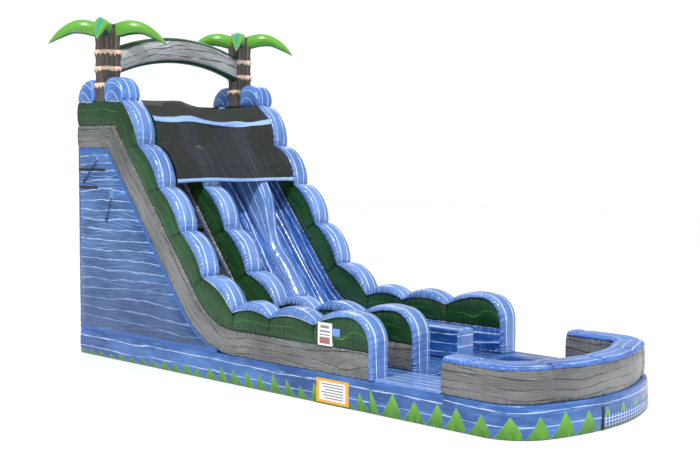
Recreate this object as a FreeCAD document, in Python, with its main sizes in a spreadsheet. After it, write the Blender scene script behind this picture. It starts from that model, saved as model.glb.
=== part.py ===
import FreeCAD, Part
import math
import os
import re
from FreeCAD import Vector

# Palm-tree water slide with a splash pool, blown up by a blower. +X is to the right of someone who
# stands on the platform's back wall and looks down the slide, -Y is forward, towards the pool, and
# +Z is up. The origin is on the ground, under the middle of the slide's base. Many places are given
# as "near" and "far": distances forward from the back of the slide.

doc = FreeCAD.newDocument("palm_water_slide")

DIMENSIONS = (
    ("slide_width", 3900, "over the outer walls"),
    ("slide_length", 7850, "base of the slide, back to the seam with the pool base"),
    ("base_rise", 500, "deck above the ground"),
    ("skin", 12, "stand-in thickness of a chamber's fabric"),
    ("panel_thick", 25, "outer side and back panels"),
    ("platform_rise", 4100, "platform deck line above the ground"),
    ("platform_depth", 980, "flat part of the deck line on top of the tower"),
    ("slope_angle", 51.8, "slope of the slide, degrees"),
    ("foot_radius", 1750, "where the slope runs out into the deck"),
    ("wall_thick", 430, "outer walls"),
    ("middle_wall_thick", 420, "wall between the climbing lane and the slide lanes"),
    ("middle_wall_centre", -690, "across"),
    ("grey_rise", 440, "grey band of each wall"),
    ("tower_wall_rise", 900, "walls above the platform"),
    ("tower_top_length", 1450, "flat top of the walls at the tower"),
    ("middle_wall_start", 1335, "back end of the middle wall"),
    ("slope_wall_rise", 820, "wall seam above the deck line at a pinch of the slope"),
    ("front_wall_rise", 750, "wall seam above the deck at a pinch of the front"),
    ("first_pinch", 570, "first pinch of the slope, along it"),
    ("pinch_pitch", 1000, "between pinches of the slope"),
    ("front_pinch_one", 4640, "forward from the back"),
    ("front_pinch_two", 5560, "forward from the back"),
    ("front_pinch_three", 6600, "forward from the back"),
    ("wall_end", 7830, "front of the coloured bands"),
    ("cap_front", 90, "cap in front of the bands"),
    ("cap_edge", 60, "cap height at a pinch"),
    ("end_round", 430, "round front end of a wall, along it"),
    ("end_rise", 205, "front crest above the last pinch"),
    ("end_fall", 440, "round front end of a wall, down"),
    ("tip_rise", 60, "deck line's height where the tower's outline stops"),
    ("seam_swell", 90, "rise of the seam between two pinches"),
    ("crown_swell", 185, "rise of the crown between two pinches"),
    ("bed_rise", 300, "slide bed above the deck line on the slope"),
    ("bed_edge", 20, "slide bed's thickness at its foot"),
    ("bed_foot", 700, "length of the bed's run-out curve"),
    ("climb_bed_rise", 310, "climbing bed above the deck line"),
    ("floor_pad", 50, "platform floor pad"),
    ("back_wall_thick", 330, "wall at the back of the platform"),
    ("ridge_centre", 670, "across, of the ridge between the slide lanes"),
    ("ridge_thick", 390, "ridge between the slide lanes"),
    ("ridge_tall", 915, "upper part of the ridge above the deck line"),
    ("ridge_low", 470, "lower part of the ridge above the deck line"),
    ("exit_block_rise", 530, "block between the lanes on the deck"),
    ("exit_block_thick", 440, "block between the lanes on the deck"),
    ("exit_block_near", 4960, "back of the block"),
    ("exit_block_far", 7740, "front of the block"),
    ("step_height", 90, "climbing steps above their bed"),
    ("step_depth", 190, "climbing steps along the slope"),
    ("step_pitch", 395, "between climbing steps"),
    ("step_count", 8, "climbing steps"),
    ("rail_width", 45, "webbing of the climbing ladder"),
    ("ladder_width", 290, "climbing ladder, beside the middle wall"),
    ("webbing", 5, "thickness of webbing and straps"),
    ("pool_length", 3220, "pool base, forward from the seam"),
    ("pool_side", 2150, "straight side of the pool base"),
    ("basin_left", 1000, "basin's left edge from the middle"),
    ("basin_right", 1450, "basin's right edge from the middle"),
    ("basin_near", 210, "basin's back edge in front of the seam"),
    ("pool_wall_thick", 500, "wall of the pool"),
    ("pool_wall_near", 1370, "ends of the pool wall in front of the seam"),
    ("pool_wall_rise", 505, "grey part of the pool wall"),
    ("pool_cap_rise", 65, "blue top of the pool wall"),
    ("pool_inset", 20, "pool wall behind the edge of its base"),
    ("liner_thick", 25, "floor of the pool"),
    ("step_pad_rise", 45, "pad of the way out of the pool"),
    ("trunk_width", 400, "palm trunk across and along"),
    ("trunk_near", 530, "back of the trunks"),
    ("trunk_rise", 1510, "trunks above the walls"),
    ("trunk_round", 60, "corners of a trunk"),
    ("fringe_height", 100, "bark fringe"),
    ("fringe_thick", 9, "bark fringe"),
    ("fringe_pitch", 320, "between bark fringes"),
    ("first_fringe", 270, "lowest bark fringe above the walls"),
    ("frond_reach", 1150, "tip of a frond from the trunk's axis"),
    ("arch_foot", 560, "underside of the arch at the trunks, above the walls"),
    ("arch_swell", 300, "rise of the arch at its middle"),
    ("arch_height", 510, "height of the arch beam"),
    ("arch_thick", 320, "thickness of the arch beam"),
    ("bump_rise", 410, "bumps before and behind the trunks"),
    ("bump_gap", 12, "bumps stand this far from the trunks"),
    ("mesh_thick", 6, "shade mesh"),
    ("mesh_rise", 1090, "shade mesh above the deck line"),
    ("upper_strap_width", 140, "strap across the mesh"),
    ("upper_strap_place", 137, "middle of the strap across the mesh, down the slope"),
    ("lower_strap_width", 50, "strap along the mesh's lower edge"),
    ("patch_size", 150, "anchor patch, square"),
    ("patch_thick", 4, "anchor patch"),
    ("ring_wire", 4, "radius of a ring's wire"),
    ("ring_radius", 30, "radius of a ring's bow"),
    ("pin_gap", 0.1, "between a ring's bar and its loop, all round"),
    ("upper_ring_near", 730, "upper ring, forward from the back"),
    ("upper_ring_drop", 200, "upper ring below the platform deck line"),
    ("lower_ring_near", 1160, "lower ring, forward from the back"),
    ("lower_ring_drop", 920, "lower ring below the platform deck line"),
    ("upper_strip_drop", 420, "upper webbing strip below the platform deck line"),
    ("lower_strip_drop", 770, "lower webbing strip below the platform deck line"),
    ("strip_width", 50, "webbing strip"),
    ("strap_radius", 9, "tie strap, rolled"),
    ("knot_radius", 42, "knot at the end of a tie strap"),
    ("sleeve_radius", 140, "inflation sleeve"),
    ("sleeve_length", 520, "inflation sleeve behind the slide"),
    ("sleeve_height", 235, "middle of the sleeve"),
    ("sleeve_centre", 300, "middle of the sleeve, across"),
    ("blower_radius", 215, "blower's scroll"),
    ("blower_width", 274, "blower's scroll along its axis"),
    ("blower_wall", 6, "blower's plastic"),
    ("blower_foot", 30, "stand under the blower"),
    ("impeller_radius", 150, "blower's wheel"),
    ("impeller_width", 120, "blower's wheel along its axis"),
    ("shaft_radius", 8, "motor shaft"),
    ("motor_radius", 85, "motor"),
    ("motor_length", 190, "motor"),
    ("zip_height", 900, "length of the deflation zip"),
    ("zip_bottom", 700, "lower end of the zip above the ground"),
    ("zip_centre", -1000, "zip, across"),
    ("flap_width", 160, "cover flap of the zip"),
)

sheet = doc.addObject("Spreadsheet::Sheet", "Sheet")
for row, (alias, value, note) in enumerate(DIMENSIONS, 1):
    sheet.set(f"A{row}", alias)
    sheet.set(f"B{row}", str(value))
    sheet.setAlias(f"B{row}", alias)
    sheet.set(f"C{row}", note)
doc.recompute()

D = {alias: float(getattr(sheet, alias)) for alias, _, _ in DIMENSIONS}
HALF = D["slide_width"] / 2
BACK_Y = D["slide_length"] / 2
SLOPE = math.radians(D["slope_angle"])
DECK = D["base_rise"]
PLATFORM = D["platform_rise"]
WALL_TOP = PLATFORM + D["tower_wall_rise"]
INNER = HALF - D["wall_thick"]
MIDDLE_LEFT = D["middle_wall_centre"] - D["middle_wall_thick"] / 2
MIDDLE_RIGHT = D["middle_wall_centre"] + D["middle_wall_thick"] / 2

parts = []


# --- helpers -----------------------------------------------------------------------------------


def bound(text):
    """An expression with each dimension's name pointed at the sheet."""
    return re.sub(r"[a-z][a-z_]*", lambda name: "Sheet." + name.group(0), text)


def block(name, across, along, up):
    """A box between two expressions each way; along counts forward from the slide's back."""
    item = doc.addObject("Part::Box", name)
    sizes = (
        ("Length", f"({across[1]}) - ({across[0]})"),
        ("Width", f"({along[1]}) - ({along[0]})"),
        ("Height", f"({up[1]}) - ({up[0]})"),
        ("Placement.Base.x", across[0]),
        ("Placement.Base.y", f"slide_length / 2 - ({along[1]})"),
        ("Placement.Base.z", up[0]),
    )
    for prop, text in sizes:
        item.setExpression(prop, bound(text))
    return item


def keep(item, label):
    """Marks a document object as a sub-part."""
    item.Label = label
    parts.append(item)
    return item


def cut(label, base, tool):
    item = doc.addObject("Part::Cut", label + "_cut")
    item.Base, item.Tool = base, tool
    return keep(item, label)


def box_chamber(label, across, along, up):
    """A closed box of fabric with air inside."""
    outer = block(label + "_outside", across, along, up)
    inner = block(
        label + "_inside",
        (f"{across[0]} + skin", f"{across[1]} - skin"),
        (f"{along[0]} + skin", f"{along[1]} - skin"),
        (f"{up[0]} + skin", f"{up[1]} - skin"),
    )
    return cut(label, outer, inner)


def feature(label, shape):
    """A sub-part whose shape is made with Part's own functions from the sheet's sizes."""
    item = doc.addObject("Part::Feature", label)
    item.Shape = shape
    item.Placement = shape.Placement
    return keep(item, label)


def at(forward, height, across=0.0):
    """A point from its distance forward of the slide's back and its height."""
    return Vector(across, BACK_Y - forward, height)


def on_slope(along, above):
    """Forward distance and height of a point on the slope, from the deck line's top knee."""
    forward = D["platform_depth"] + along * math.cos(SLOPE) + above * math.sin(SLOPE)
    return forward, PLATFORM - along * math.sin(SLOPE) + above * math.cos(SLOPE)


def line(a, b):
    return Part.makeLine(at(*a), at(*b))


def arc(a, through, b):
    return Part.Arc(at(*a), at(*through), at(*b)).toShape()


def polyline(points):
    return [line(a, b) for a, b in zip(points, points[1:])]


def face_of(edges):
    return Part.Face(Part.Wire(Part.__sortEdges__(edges)))


def spread(face, low, high):
    """A profile extruded across the slide."""
    solid = face.extrude(Vector(high - low, 0, 0))
    solid.translate(Vector(low, 0, 0))
    return solid


def chamber(edges, air, low, high):
    """A profile extruded across the slide, with a second profile of air inside it."""
    skin = D["skin"]
    solid = spread(face_of(edges), low, high)
    return solid.cut(spread(face_of(air), low + skin, high - skin)).Solids[0]


def swelling(a, b, rise):
    """An arc from a to b that stands rise above their chord, on its upper side."""
    length = math.dist(a, b)
    forward, height = (b[0] - a[0]) / length, (b[1] - a[1]) / length
    middle = ((a[0] + b[0]) / 2 - height * rise, (a[1] + b[1]) / 2 + forward * rise)
    return arc(a, middle, b)


# --- lines that the chambers share -----------------------------------------------------------------

FOOT_CORNER = D["platform_depth"] + (PLATFORM - DECK) / math.tan(SLOPE)
FOOT_CENTRE = FOOT_CORNER + D["foot_radius"] * math.tan(SLOPE / 2)


def foot_point(above, turn):
    """A point of the run-out curve that lies above the deck line, turn radians before its end."""
    radius = D["foot_radius"] - above
    height = DECK + D["foot_radius"] - radius * math.cos(turn)
    return FOOT_CENTRE - radius * math.sin(turn), height


def line_height(above, forward):
    """Height of a line parallel to the deck line, on the platform or the slope."""
    past_knee = forward - D["platform_depth"] - above * math.tan(SLOPE / 2)
    return PLATFORM + above - max(past_knee, 0) * math.tan(SLOPE)


def deck_line(above, start, end):
    """The deck line, or a line parallel to it, from start to the wall's front."""
    knee = (D["platform_depth"] + above * math.tan(SLOPE / 2), PLATFORM + above)
    slope_end, middle, foot_end = (foot_point(above, SLOPE * share) for share in (1, 0.5, 0))
    corners = [(start, line_height(above, start)), slope_end]
    if start < knee[0]:
        corners.insert(1, knee)
    edges = polyline(corners)
    return edges + [arc(slope_end, middle, foot_end), line(foot_end, (end, DECK + above))]


def pinches(above):
    """The pinch points of a wall, above its seam line."""
    push = (above * math.sin(SLOPE), above * math.cos(SLOPE))
    points = [(D["tower_top_length"] + push[0], WALL_TOP + push[1])]
    for k in range(4):
        along = D["first_pinch"] + k * D["pinch_pitch"]
        points.append(on_slope(along, D["slope_wall_rise"] + above))
    for name in ("one", "two", "three"):
        points.append((D["front_pinch_" + name], DECK + D["front_wall_rise"] + above))
    return points


def scalloped(above, rise, front, fall, first=0):
    """A wall's seam or crown: swellings between its pinches, then round its front end.

    Returns the edges down to the height fall below the end crest, and that last point."""
    points = pinches(above)[first:]
    edges = [swelling(a, b, rise) for a, b in zip(points, points[1:])]
    last = points[-1]
    crest = (front - D["end_round"], last[1] + D["end_rise"])
    edges.append(swelling(last, crest, rise * 0.55))
    # the round front end passes this share of its width and fall inside its corner
    share = 1 - math.sqrt(0.5)
    shoulder = (front - share * D["end_round"], crest[1] - share * fall)
    end = (front, crest[1] - fall)
    return edges + [arc(crest, shoulder, end)], end


def seam_line(above=0.0, forward=0.0, first=0):
    front = D["wall_end"] + forward
    return scalloped(above, D["seam_swell"], front, D["end_fall"], first)


def crown_line(below=0.0, first=0):
    front = D["wall_end"] + D["cap_front"] - below
    return scalloped(D["cap_edge"] - below, D["crown_swell"], front, D["end_fall"], first)


SEAM_START = pinches(0)[0]
CROWN_START = pinches(D["cap_edge"])[0]


# --- bases and tower ---------------------------------------------------------------------------------


def make_base():
    box_chamber(
        "main_base",
        ("-slide_width / 2", "slide_width / 2"),
        ("0", "slide_length"),
        ("0", "base_rise"),
    )


def under_deck(inset, tip_rise):
    """Outline under the deck line: back, platform, slope and run-out, down to the deck."""
    turn = math.acos(1 - (tip_rise + inset) / (D["foot_radius"] + inset))
    tip = foot_point(-inset, turn)
    slope_end = foot_point(-inset, SLOPE)
    middle = foot_point(-inset, (SLOPE + turn) / 2)
    knee = (D["platform_depth"] - inset * math.tan(SLOPE / 2), PLATFORM - inset)
    floor = DECK + inset
    edges = polyline([(tip[0], floor), (inset, floor), (inset, knee[1]), knee, slope_end])
    return edges + [arc(slope_end, middle, tip), line(tip, (tip[0], floor))]


def make_tower():
    thick = D["panel_thick"]
    tip = D["tip_rise"]
    core = spread(face_of(under_deck(0, tip)), thick - HALF, HALF - thick)
    core = core.cut(plan_box(-HALF, HALF, -1, thick, 0, PLATFORM + 1))
    gap = thick + D["skin"]
    air = spread(face_of(under_deck(gap, tip)), gap - HALF, HALF - gap)
    feature("tower_core", core.cut(air).Solids[0])
    outline = face_of(under_deck(0, tip))
    feature("left_side_panel", spread(outline, -HALF, thick - HALF))
    feature("right_side_panel", spread(outline, HALF - thick, HALF))
    keep(
        block(
            "rear_panel_block",
            ("panel_thick - slide_width / 2", "slide_width / 2 - panel_thick"),
            ("0", "panel_thick"),
            ("base_rise", "platform_rise"),
        ),
        "rear_panel",
    )
    keep(
        block(
            "platform_floor_block",
            ("wall_thick - slide_width / 2", "slide_width / 2 - wall_thick"),
            ("back_wall_thick", "platform_depth"),
            ("platform_rise", "platform_rise + floor_pad"),
        ),
        "platform_floor",
    )
    box_chamber(
        "platform_rear_wall",
        ("wall_thick - slide_width / 2", "slide_width / 2 - wall_thick"),
        ("0", "back_wall_thick"),
        ("platform_rise", "platform_rise + tower_wall_rise"),
    )


# --- walls ----------------------------------------------------------------------------------------------


def grey_band(start, inset=0.0):
    low, high = inset, D["grey_rise"] - inset
    start, end = start + inset, D["wall_end"] - inset
    edges = deck_line(low, start, end) + deck_line(high, start, end)
    edges.append(line((end, DECK + low), (end, DECK + high)))
    edges.append(line((start, line_height(low, start)), (start, line_height(high, start))))
    return edges


def green_band(start, inset=0.0):
    low = D["grey_rise"] + inset
    start, end = start + inset, D["wall_end"] - inset
    seam, seam_end = seam_line(-inset, -inset)
    top = (start, WALL_TOP - inset)
    edges = deck_line(low, start, end) + seam
    edges.append(line(seam_end, (end, DECK + low)))
    return edges + polyline([(start, line_height(low, start)), top, pinches(-inset)[0]])


def wall_cap():
    seam, seam_end = seam_line()
    crown, crown_end = crown_line()
    foot = (D["wall_end"], DECK)
    edges = seam + crown + [line(SEAM_START, CROWN_START)]
    return edges + polyline([seam_end, foot, (foot[0] + D["cap_front"], DECK), crown_end])


def cap_air():
    """The air in a cap, from its first pinch on the slope."""
    skin = D["skin"]
    seam, seam_end = seam_line(skin, skin, 1)
    crown, crown_end = crown_line(skin, 1)
    foot = (D["wall_end"] + skin, DECK + skin)
    edges = seam + crown + [line(pinches(skin)[1], pinches(D["cap_edge"] - skin)[1])]
    return edges + polyline([seam_end, foot, (crown_end[0], foot[1]), crown_end])


def make_wall(side, low, high, start):
    skin = D["skin"]
    grey = chamber(grey_band(start), grey_band(start, skin), low, high)
    feature(f"{side}_wall_grey_band", grey)
    green = chamber(green_band(start), green_band(start, skin), low, high)
    feature(f"{side}_wall_green_band", green)
    feature(f"{side}_wall_cap", chamber(wall_cap(), cap_air(), low, high))


def make_walls():
    make_wall("left", -HALF, -INNER, 0)
    make_wall("right", INNER, HALF, 0)
    # the middle wall starts on the slope, in front of the platform
    make_wall("middle", MIDDLE_LEFT, MIDDLE_RIGHT, D["middle_wall_start"])


# --- lanes ----------------------------------------------------------------------------------------------


def bed_outline(rise):
    """A bed on the slope, from the platform's edge to its run-out on the deck."""
    floor = PLATFORM + D["floor_pad"]
    edge = DECK + D["bed_edge"]
    top_along = (PLATFORM + rise * math.cos(SLOPE) - floor) / math.sin(SLOPE)
    corner_along = (PLATFORM + rise * math.cos(SLOPE) - edge) / math.sin(SLOPE)
    corner = on_slope(corner_along, rise)
    radius = D["bed_foot"] / math.tan(SLOPE / 2)
    centre = (corner[0] + D["bed_foot"], edge + radius)
    half = (centre[0] - radius * math.sin(SLOPE / 2), centre[1] - radius * math.cos(SLOPE / 2))
    slope_end = on_slope(corner_along - D["bed_foot"], rise)
    knee = on_slope(top_along, rise)
    deck_arc = [foot_point(0, SLOPE * share) for share in (1, 0.5, 0)]
    start = (D["platform_depth"], PLATFORM)
    edges = polyline([start, (start[0], floor), knee, slope_end])
    edges.append(arc(slope_end, half, (centre[0], edge)))
    edges += polyline([(centre[0], edge), (centre[0], DECK), deck_arc[2]])
    edges += [arc(*deck_arc), line(deck_arc[0], start)]
    return edges


def slope_outline(points):
    return polyline([on_slope(*p) for p in points + points[:1]])


def bed_air(rise):
    skin = D["skin"]
    low, high = skin, rise - skin
    return slope_outline([(150, low), (3700, low), (3700, high), (300, high)])


def make_slide_lanes():
    rise = D["bed_rise"]
    middle = D["ridge_centre"]
    for side, low, high in (("left", MIDDLE_RIGHT, middle), ("right", middle, INNER)):
        feature(f"{side}_slide_bed", chamber(bed_outline(rise), bed_air(rise), low, high))


def make_ridge():
    bed, tall, low = D["bed_rise"], D["ridge_tall"], D["ridge_low"]
    floor = PLATFORM + D["floor_pad"]
    bed_top = on_slope((PLATFORM + bed * math.cos(SLOPE) - floor) / math.sin(SLOPE), bed)
    back_top = (bed_top[0], WALL_TOP)
    shoulder = on_slope(-60, tall + 30)
    upper, drop, valley, foot = (
        on_slope(*p) for p in ((1600, tall), (2130, tall - 170), (2620, low + 30), (3960, low))
    )
    edges = polyline([on_slope(4050, bed), bed_top, back_top, shoulder])
    edges.append(swelling(shoulder, upper, 45))
    edges.append(arc(upper, on_slope(1900, tall - 60), drop))
    edges.append(line(drop, valley))
    edges.append(swelling(valley, foot, 40))
    edges.append(line(foot, on_slope(4050, bed)))
    half = D["ridge_thick"] / 2
    centre = D["ridge_centre"]
    low, high = bed + D["skin"], tall - 80
    air = slope_outline([(220, low), (1900, low), (1650, high), (-100, high)])
    feature("slide_divider_ridge", chamber(edges, air, centre - half, centre + half))
    box_chamber(
        "exit_divider_block",
        ("ridge_centre - exit_block_thick / 2", "ridge_centre + exit_block_thick / 2"),
        ("exit_block_near", "exit_block_far"),
        ("base_rise", "base_rise + exit_block_rise"),
    )


def make_climbing_lane():
    rise = D["climb_bed_rise"]
    low, high = -INNER, MIDDLE_LEFT
    feature("climbing_bed", chamber(bed_outline(rise), bed_air(rise), low, high))
    steps = []
    edge = 25
    for k in range(int(D["step_count"])):
        near = 480 + k * D["step_pitch"]
        far = near + D["step_depth"]
        top = rise + D["step_height"]
        outline = [(near, rise), (near + 30, top), (far - 30, top), (far, rise)]
        steps.append(spread(face_of(slope_outline(outline)), low + edge, high - edge))
    feature("climbing_steps", Part.makeCompound(steps))
    near = 480
    far = near + (D["step_count"] - 1) * D["step_pitch"] + D["step_depth"]
    top = rise + D["step_height"]
    strip = face_of(
        slope_outline([(near, top), (far, top), (far, top + D["webbing"]), (near, top + D["webbing"])])
    )
    half = D["rail_width"] / 2
    centre = high - D["ladder_width"] / 2
    apart = D["ladder_width"] / 2 - half
    rails = [spread(strip, centre + x - half, centre + x + half) for x in (-apart, apart)]
    ladder = rails[0]
    for k in range(int(D["step_count"])):
        middle = near + k * D["step_pitch"] + D["step_depth"] / 2
        span = (middle - half, middle + half)
        rung = slope_outline(
            list(zip(span + span[::-1], (top, top, top + D["webbing"], top + D["webbing"])))
        )
        ladder = ladder.fuse(spread(face_of(rung), centre - apart, centre + apart))
    ladder = ladder.fuse(rails[1]).removeSplitter()
    feature("climbing_ladder_webbing", ladder.Solids[0])


# --- pool -------------------------------------------------------------------------------------------------


def pool_outline(inset):
    """Plan of the pool base: straight sides, round corners and a bowed front."""
    seam = D["slide_length"]
    side = HALF - inset
    far = seam + D["pool_side"]
    front = seam + D["pool_length"] - inset
    shoulder = (side - 500, far + 0.72 * (front - far) - 0.2 * inset)
    corner = (side - 130, far + 0.42 * (front - far))

    def point(x, forward):
        return at(forward, 0, x)

    edges = [Part.makeLine(point(-side, seam), point(-side, far))]
    for sign in (-1, 1):
        edges.append(
            Part.Arc(
                point(sign * side, far),
                point(sign * corner[0], corner[1]),
                point(sign * shoulder[0], shoulder[1]),
            ).toShape()
        )
    edges.append(
        Part.Arc(
            point(-shoulder[0], shoulder[1]), point(0, front), point(shoulder[0], shoulder[1])
        ).toShape()
    )
    edges.append(Part.makeLine(point(side, far), point(side, seam)))
    edges.append(Part.makeLine(point(side, seam), point(-side, seam)))
    return face_of(edges)


def raised(face, low, high):
    solid = face.extrude(Vector(0, 0, high - low))
    solid.translate(Vector(0, 0, low))
    return solid


def plan_box(left, right, near, far, low=-10, high=2000):
    return Part.makeBox(
        right - left, far - near, high - low, Vector(left, BACK_Y - far, low)
    )


def basin_plan(grow):
    """Plan of the basin, grown outwards; it follows the inside of the pool wall."""
    inset = D["pool_inset"] + D["pool_wall_thick"] - grow
    near = D["slide_length"] + D["basin_near"] - grow
    window = plan_box(-D["basin_left"] - grow, D["basin_right"] + grow, near, near + 9000, -1, 1)
    return pool_outline(inset).common(window).Faces[0]


def make_pool():
    skin = D["skin"]
    outer = raised(pool_outline(0), 0, DECK).cut(raised(basin_plan(0), -5, DECK + 5))
    inner = raised(pool_outline(skin), skin, DECK - skin).cut(
        raised(basin_plan(skin), -5, DECK + 5)
    )
    seam = D["slide_length"]
    inner = inner.cut(plan_box(-HALF, HALF, seam - 50, seam + skin))
    feature("pool_base", outer.cut(inner).Solids[0])
    feature("pool_liner", raised(basin_plan(0), 0, D["liner_thick"]))


def pool_wall_solid(shrink, low, high):
    inset = D["pool_inset"]
    near = D["slide_length"] + D["pool_wall_near"]
    ring = raised(pool_outline(inset + shrink), low, high).cut(
        raised(pool_outline(inset + D["pool_wall_thick"] - shrink), low - 5, high + 5)
    )
    return ring.cut(plan_box(-HALF - 50, HALF + 50, near - 9000, near + shrink))


def make_pool_wall():
    skin = D["skin"]
    top = DECK + D["pool_wall_rise"]
    body = pool_wall_solid(0, DECK, top).cut(pool_wall_solid(skin, DECK + skin, top - skin))
    feature("pool_wall", body.Solids[0])
    feature("pool_wall_top", pool_wall_solid(0, top, top + D["pool_cap_rise"]).Solids[0])
    keep(
        block(
            "exit_step_pad_block",
            ("pool_inset - slide_width / 2", "-basin_left"),
            ("slide_length + cap_front", "slide_length + pool_wall_near"),
            ("base_rise", "base_rise + step_pad_rise"),
        ),
        "exit_step_pad",
    )


# --- palms, arch and bumps ----------------------------------------------------------------------------------

TRUNK_X = HALF - D["trunk_width"] / 2 - 40
TRUNK_FORWARD = D["trunk_near"] + D["trunk_width"] / 2


def round_square(x, forward, half, corner, low, high):
    base = Part.makeBox(
        2 * half, 2 * half, high - low, Vector(x - half, BACK_Y - forward - half, low)
    )
    upright = [e for e in base.Edges if abs(e.tangentAt(e.FirstParameter).z) > 0.9]
    return base.makeFillet(corner, upright)


def frond(x, turn):
    """One inflated leaf: it arches out of the trunk's corner and droops to a point."""
    reach = D["frond_reach"]
    base = WALL_TOP + D["trunk_rise"]
    start = D["trunk_width"] / 2 * math.sqrt(2) - 22
    sections = (
        (start, 62, -255, 120),
        (0.38 * reach, 85, -205, 145),
        (0.58 * reach, 52, -195, 130),
        (0.77 * reach, -75, -275, 95),
        (0.91 * reach, -230, -345, 52),
        (reach, -365, -395, 12),
    )
    outward = Vector(math.cos(turn), math.sin(turn), 0)
    sideways = Vector(-math.sin(turn), math.cos(turn), 0)
    middle = at(TRUNK_FORWARD, base, x)
    rings = []
    for radius, top, bottom, half in sections:
        height = top - bottom
        corners = ((0, top), (half, bottom + 0.6 * height), (0.5 * half, bottom))
        corners += ((-0.5 * half, bottom), (-half, bottom + 0.6 * height))
        points = [middle + outward * radius + sideways * s + Vector(0, 0, z) for s, z in corners]
        rings.append(Part.makePolygon(points + points[:1]))
    return Part.makeLoft(rings, True, True)


def make_palm(side, x):
    """A trunk and its four leaves; returns the three bark fringes round the trunk."""
    top = WALL_TOP + D["trunk_rise"]
    half = D["trunk_width"] / 2
    trunk = round_square(x, TRUNK_FORWARD, half, D["trunk_round"], WALL_TOP, top)
    feature(f"{side}_palm_trunk", trunk)
    rings = []
    for k in range(3):
        low = WALL_TOP + D["first_fringe"] + k * D["fringe_pitch"]
        high = low + D["fringe_height"]
        outer = round_square(
            x, TRUNK_FORWARD, half + D["fringe_thick"], D["trunk_round"] + 9, low, high
        )
        rings.append(outer.cut(trunk).Solids[0])
    quarters = [math.radians(45 + 90 * k) for k in range(4)]
    feature(f"{side}_palm_fronds", Part.makeCompound([frond(x, turn) for turn in quarters]))
    return rings


def make_palms(arch):
    rings = make_palm("left", -TRUNK_X) + make_palm("right", TRUNK_X)
    feature("trunk_fringes", Part.makeCompound([ring.cut(arch).Solids[0] for ring in rings]))


def make_arch():
    foot = WALL_TOP + D["arch_foot"]
    half = TRUNK_X - D["trunk_width"] / 2
    near = TRUNK_FORWARD - D["arch_thick"] / 2

    def point(x, height):
        return at(near + D["arch_thick"], height, x)

    rise = D["arch_swell"]
    top = foot + D["arch_height"]
    edges = [
        Part.Arc(point(-half, foot), point(0, foot + rise), point(half, foot)).toShape(),
        Part.Arc(point(-half, top), point(0, top + rise - 20), point(half, top)).toShape(),
        Part.makeLine(point(-half, foot), point(-half, top)),
        Part.makeLine(point(half, foot), point(half, top)),
    ]
    arch = face_of(edges).extrude(Vector(0, D["arch_thick"], 0))
    feature("arch_beam", arch)
    return arch


def front_bump():
    near = D["trunk_near"] + D["trunk_width"] + D["bump_gap"]
    top = WALL_TOP + D["bump_rise"]
    shoulder = (near + 0.72 * (CROWN_START[0] - near), top - 25)
    edges = [arc((near, top - 60), shoulder, CROWN_START)]
    return edges + polyline([CROWN_START, SEAM_START, (near, WALL_TOP), (near, top - 60)])


def rear_bump():
    far = D["trunk_near"] - D["bump_gap"]
    top = WALL_TOP + D["bump_rise"]
    edges = [arc((50, WALL_TOP), (50 + 0.28 * far, top - 105), (0.85 * far, top))]
    return edges + polyline([(0.85 * far, top), (far, top), (far, WALL_TOP), (50, WALL_TOP)])


def make_bumps():
    spans = ((-HALF, -INNER), (INNER, HALF))
    for name, outline in (("front", front_bump()), ("rear", rear_bump())):
        solids = [spread(face_of(outline), low, high) for low, high in spans]
        feature(f"{name}_bumps", Part.makeCompound(solids))


# --- shade mesh ----------------------------------------------------------------------------------------------

MESH_LINE = ((-420, -105), (110, 0), (1080, 0), (1530, -140))


def mesh_height(along):
    """Height of the mesh above the deck line, at a distance along the slope."""
    for (a, low), (b, high) in zip(MESH_LINE, MESH_LINE[1:]):
        if along <= b:
            return D["mesh_rise"] + low + (high - low) * (along - a) / (b - a)
    return D["mesh_rise"] + MESH_LINE[-1][1]


def strap_outline(stations, thick, lift):
    lower = [(s, mesh_height(s) + lift) for s in stations]
    return slope_outline(lower + [(s, z + thick) for s, z in reversed(lower)])


def make_mesh():
    stations = [s for s, _ in MESH_LINE]
    mesh = strap_outline(stations, D["mesh_thick"], 0)
    feature("shade_mesh", spread(face_of(mesh), -INNER, INNER))
    middle = D["upper_strap_place"]
    half = D["upper_strap_width"] / 2
    upper = strap_outline([middle - half, MESH_LINE[1][0], middle + half], D["webbing"], D["mesh_thick"])
    feature("upper_mesh_strap", spread(face_of(upper), -INNER, INNER))
    end = MESH_LINE[-1][0]
    lower = strap_outline([end - D["lower_strap_width"], end], D["webbing"], D["mesh_thick"])
    feature("lower_mesh_strap", spread(face_of(lower), -INNER, INNER))


# --- rings and tie straps on the sides --------------------------------------------------------------------------

RINGS = (
    ("upper", D["upper_ring_near"], PLATFORM - D["upper_ring_drop"]),
    ("lower", D["lower_ring_near"], PLATFORM - D["lower_ring_drop"]),
)
RING_STAND = D["patch_thick"] + D["ring_wire"] + 5


def ring_solid(side, near, height):
    """A D-shaped ring: a straight bar in its loop and a bow that hangs under it."""
    x = side * (HALF + RING_STAND)
    radius, wire = D["ring_radius"], D["ring_wire"]
    bar = Part.makeCylinder(wire, 2 * radius, at(near + radius, height, x), Vector(0, 1, 0))
    bow = Part.makeTorus(radius, wire, at(near, height, x), Vector(1, 0, 0))
    lower = Part.makeBox(40, 200, 200, at(near + 100, height - 200, x - 20))
    ring = bar.fuse(bow.common(lower))
    for end in (-radius, radius):
        ring = ring.fuse(Part.makeSphere(wire, at(near + end, height, x)))
    return ring.Solids[0]


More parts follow.
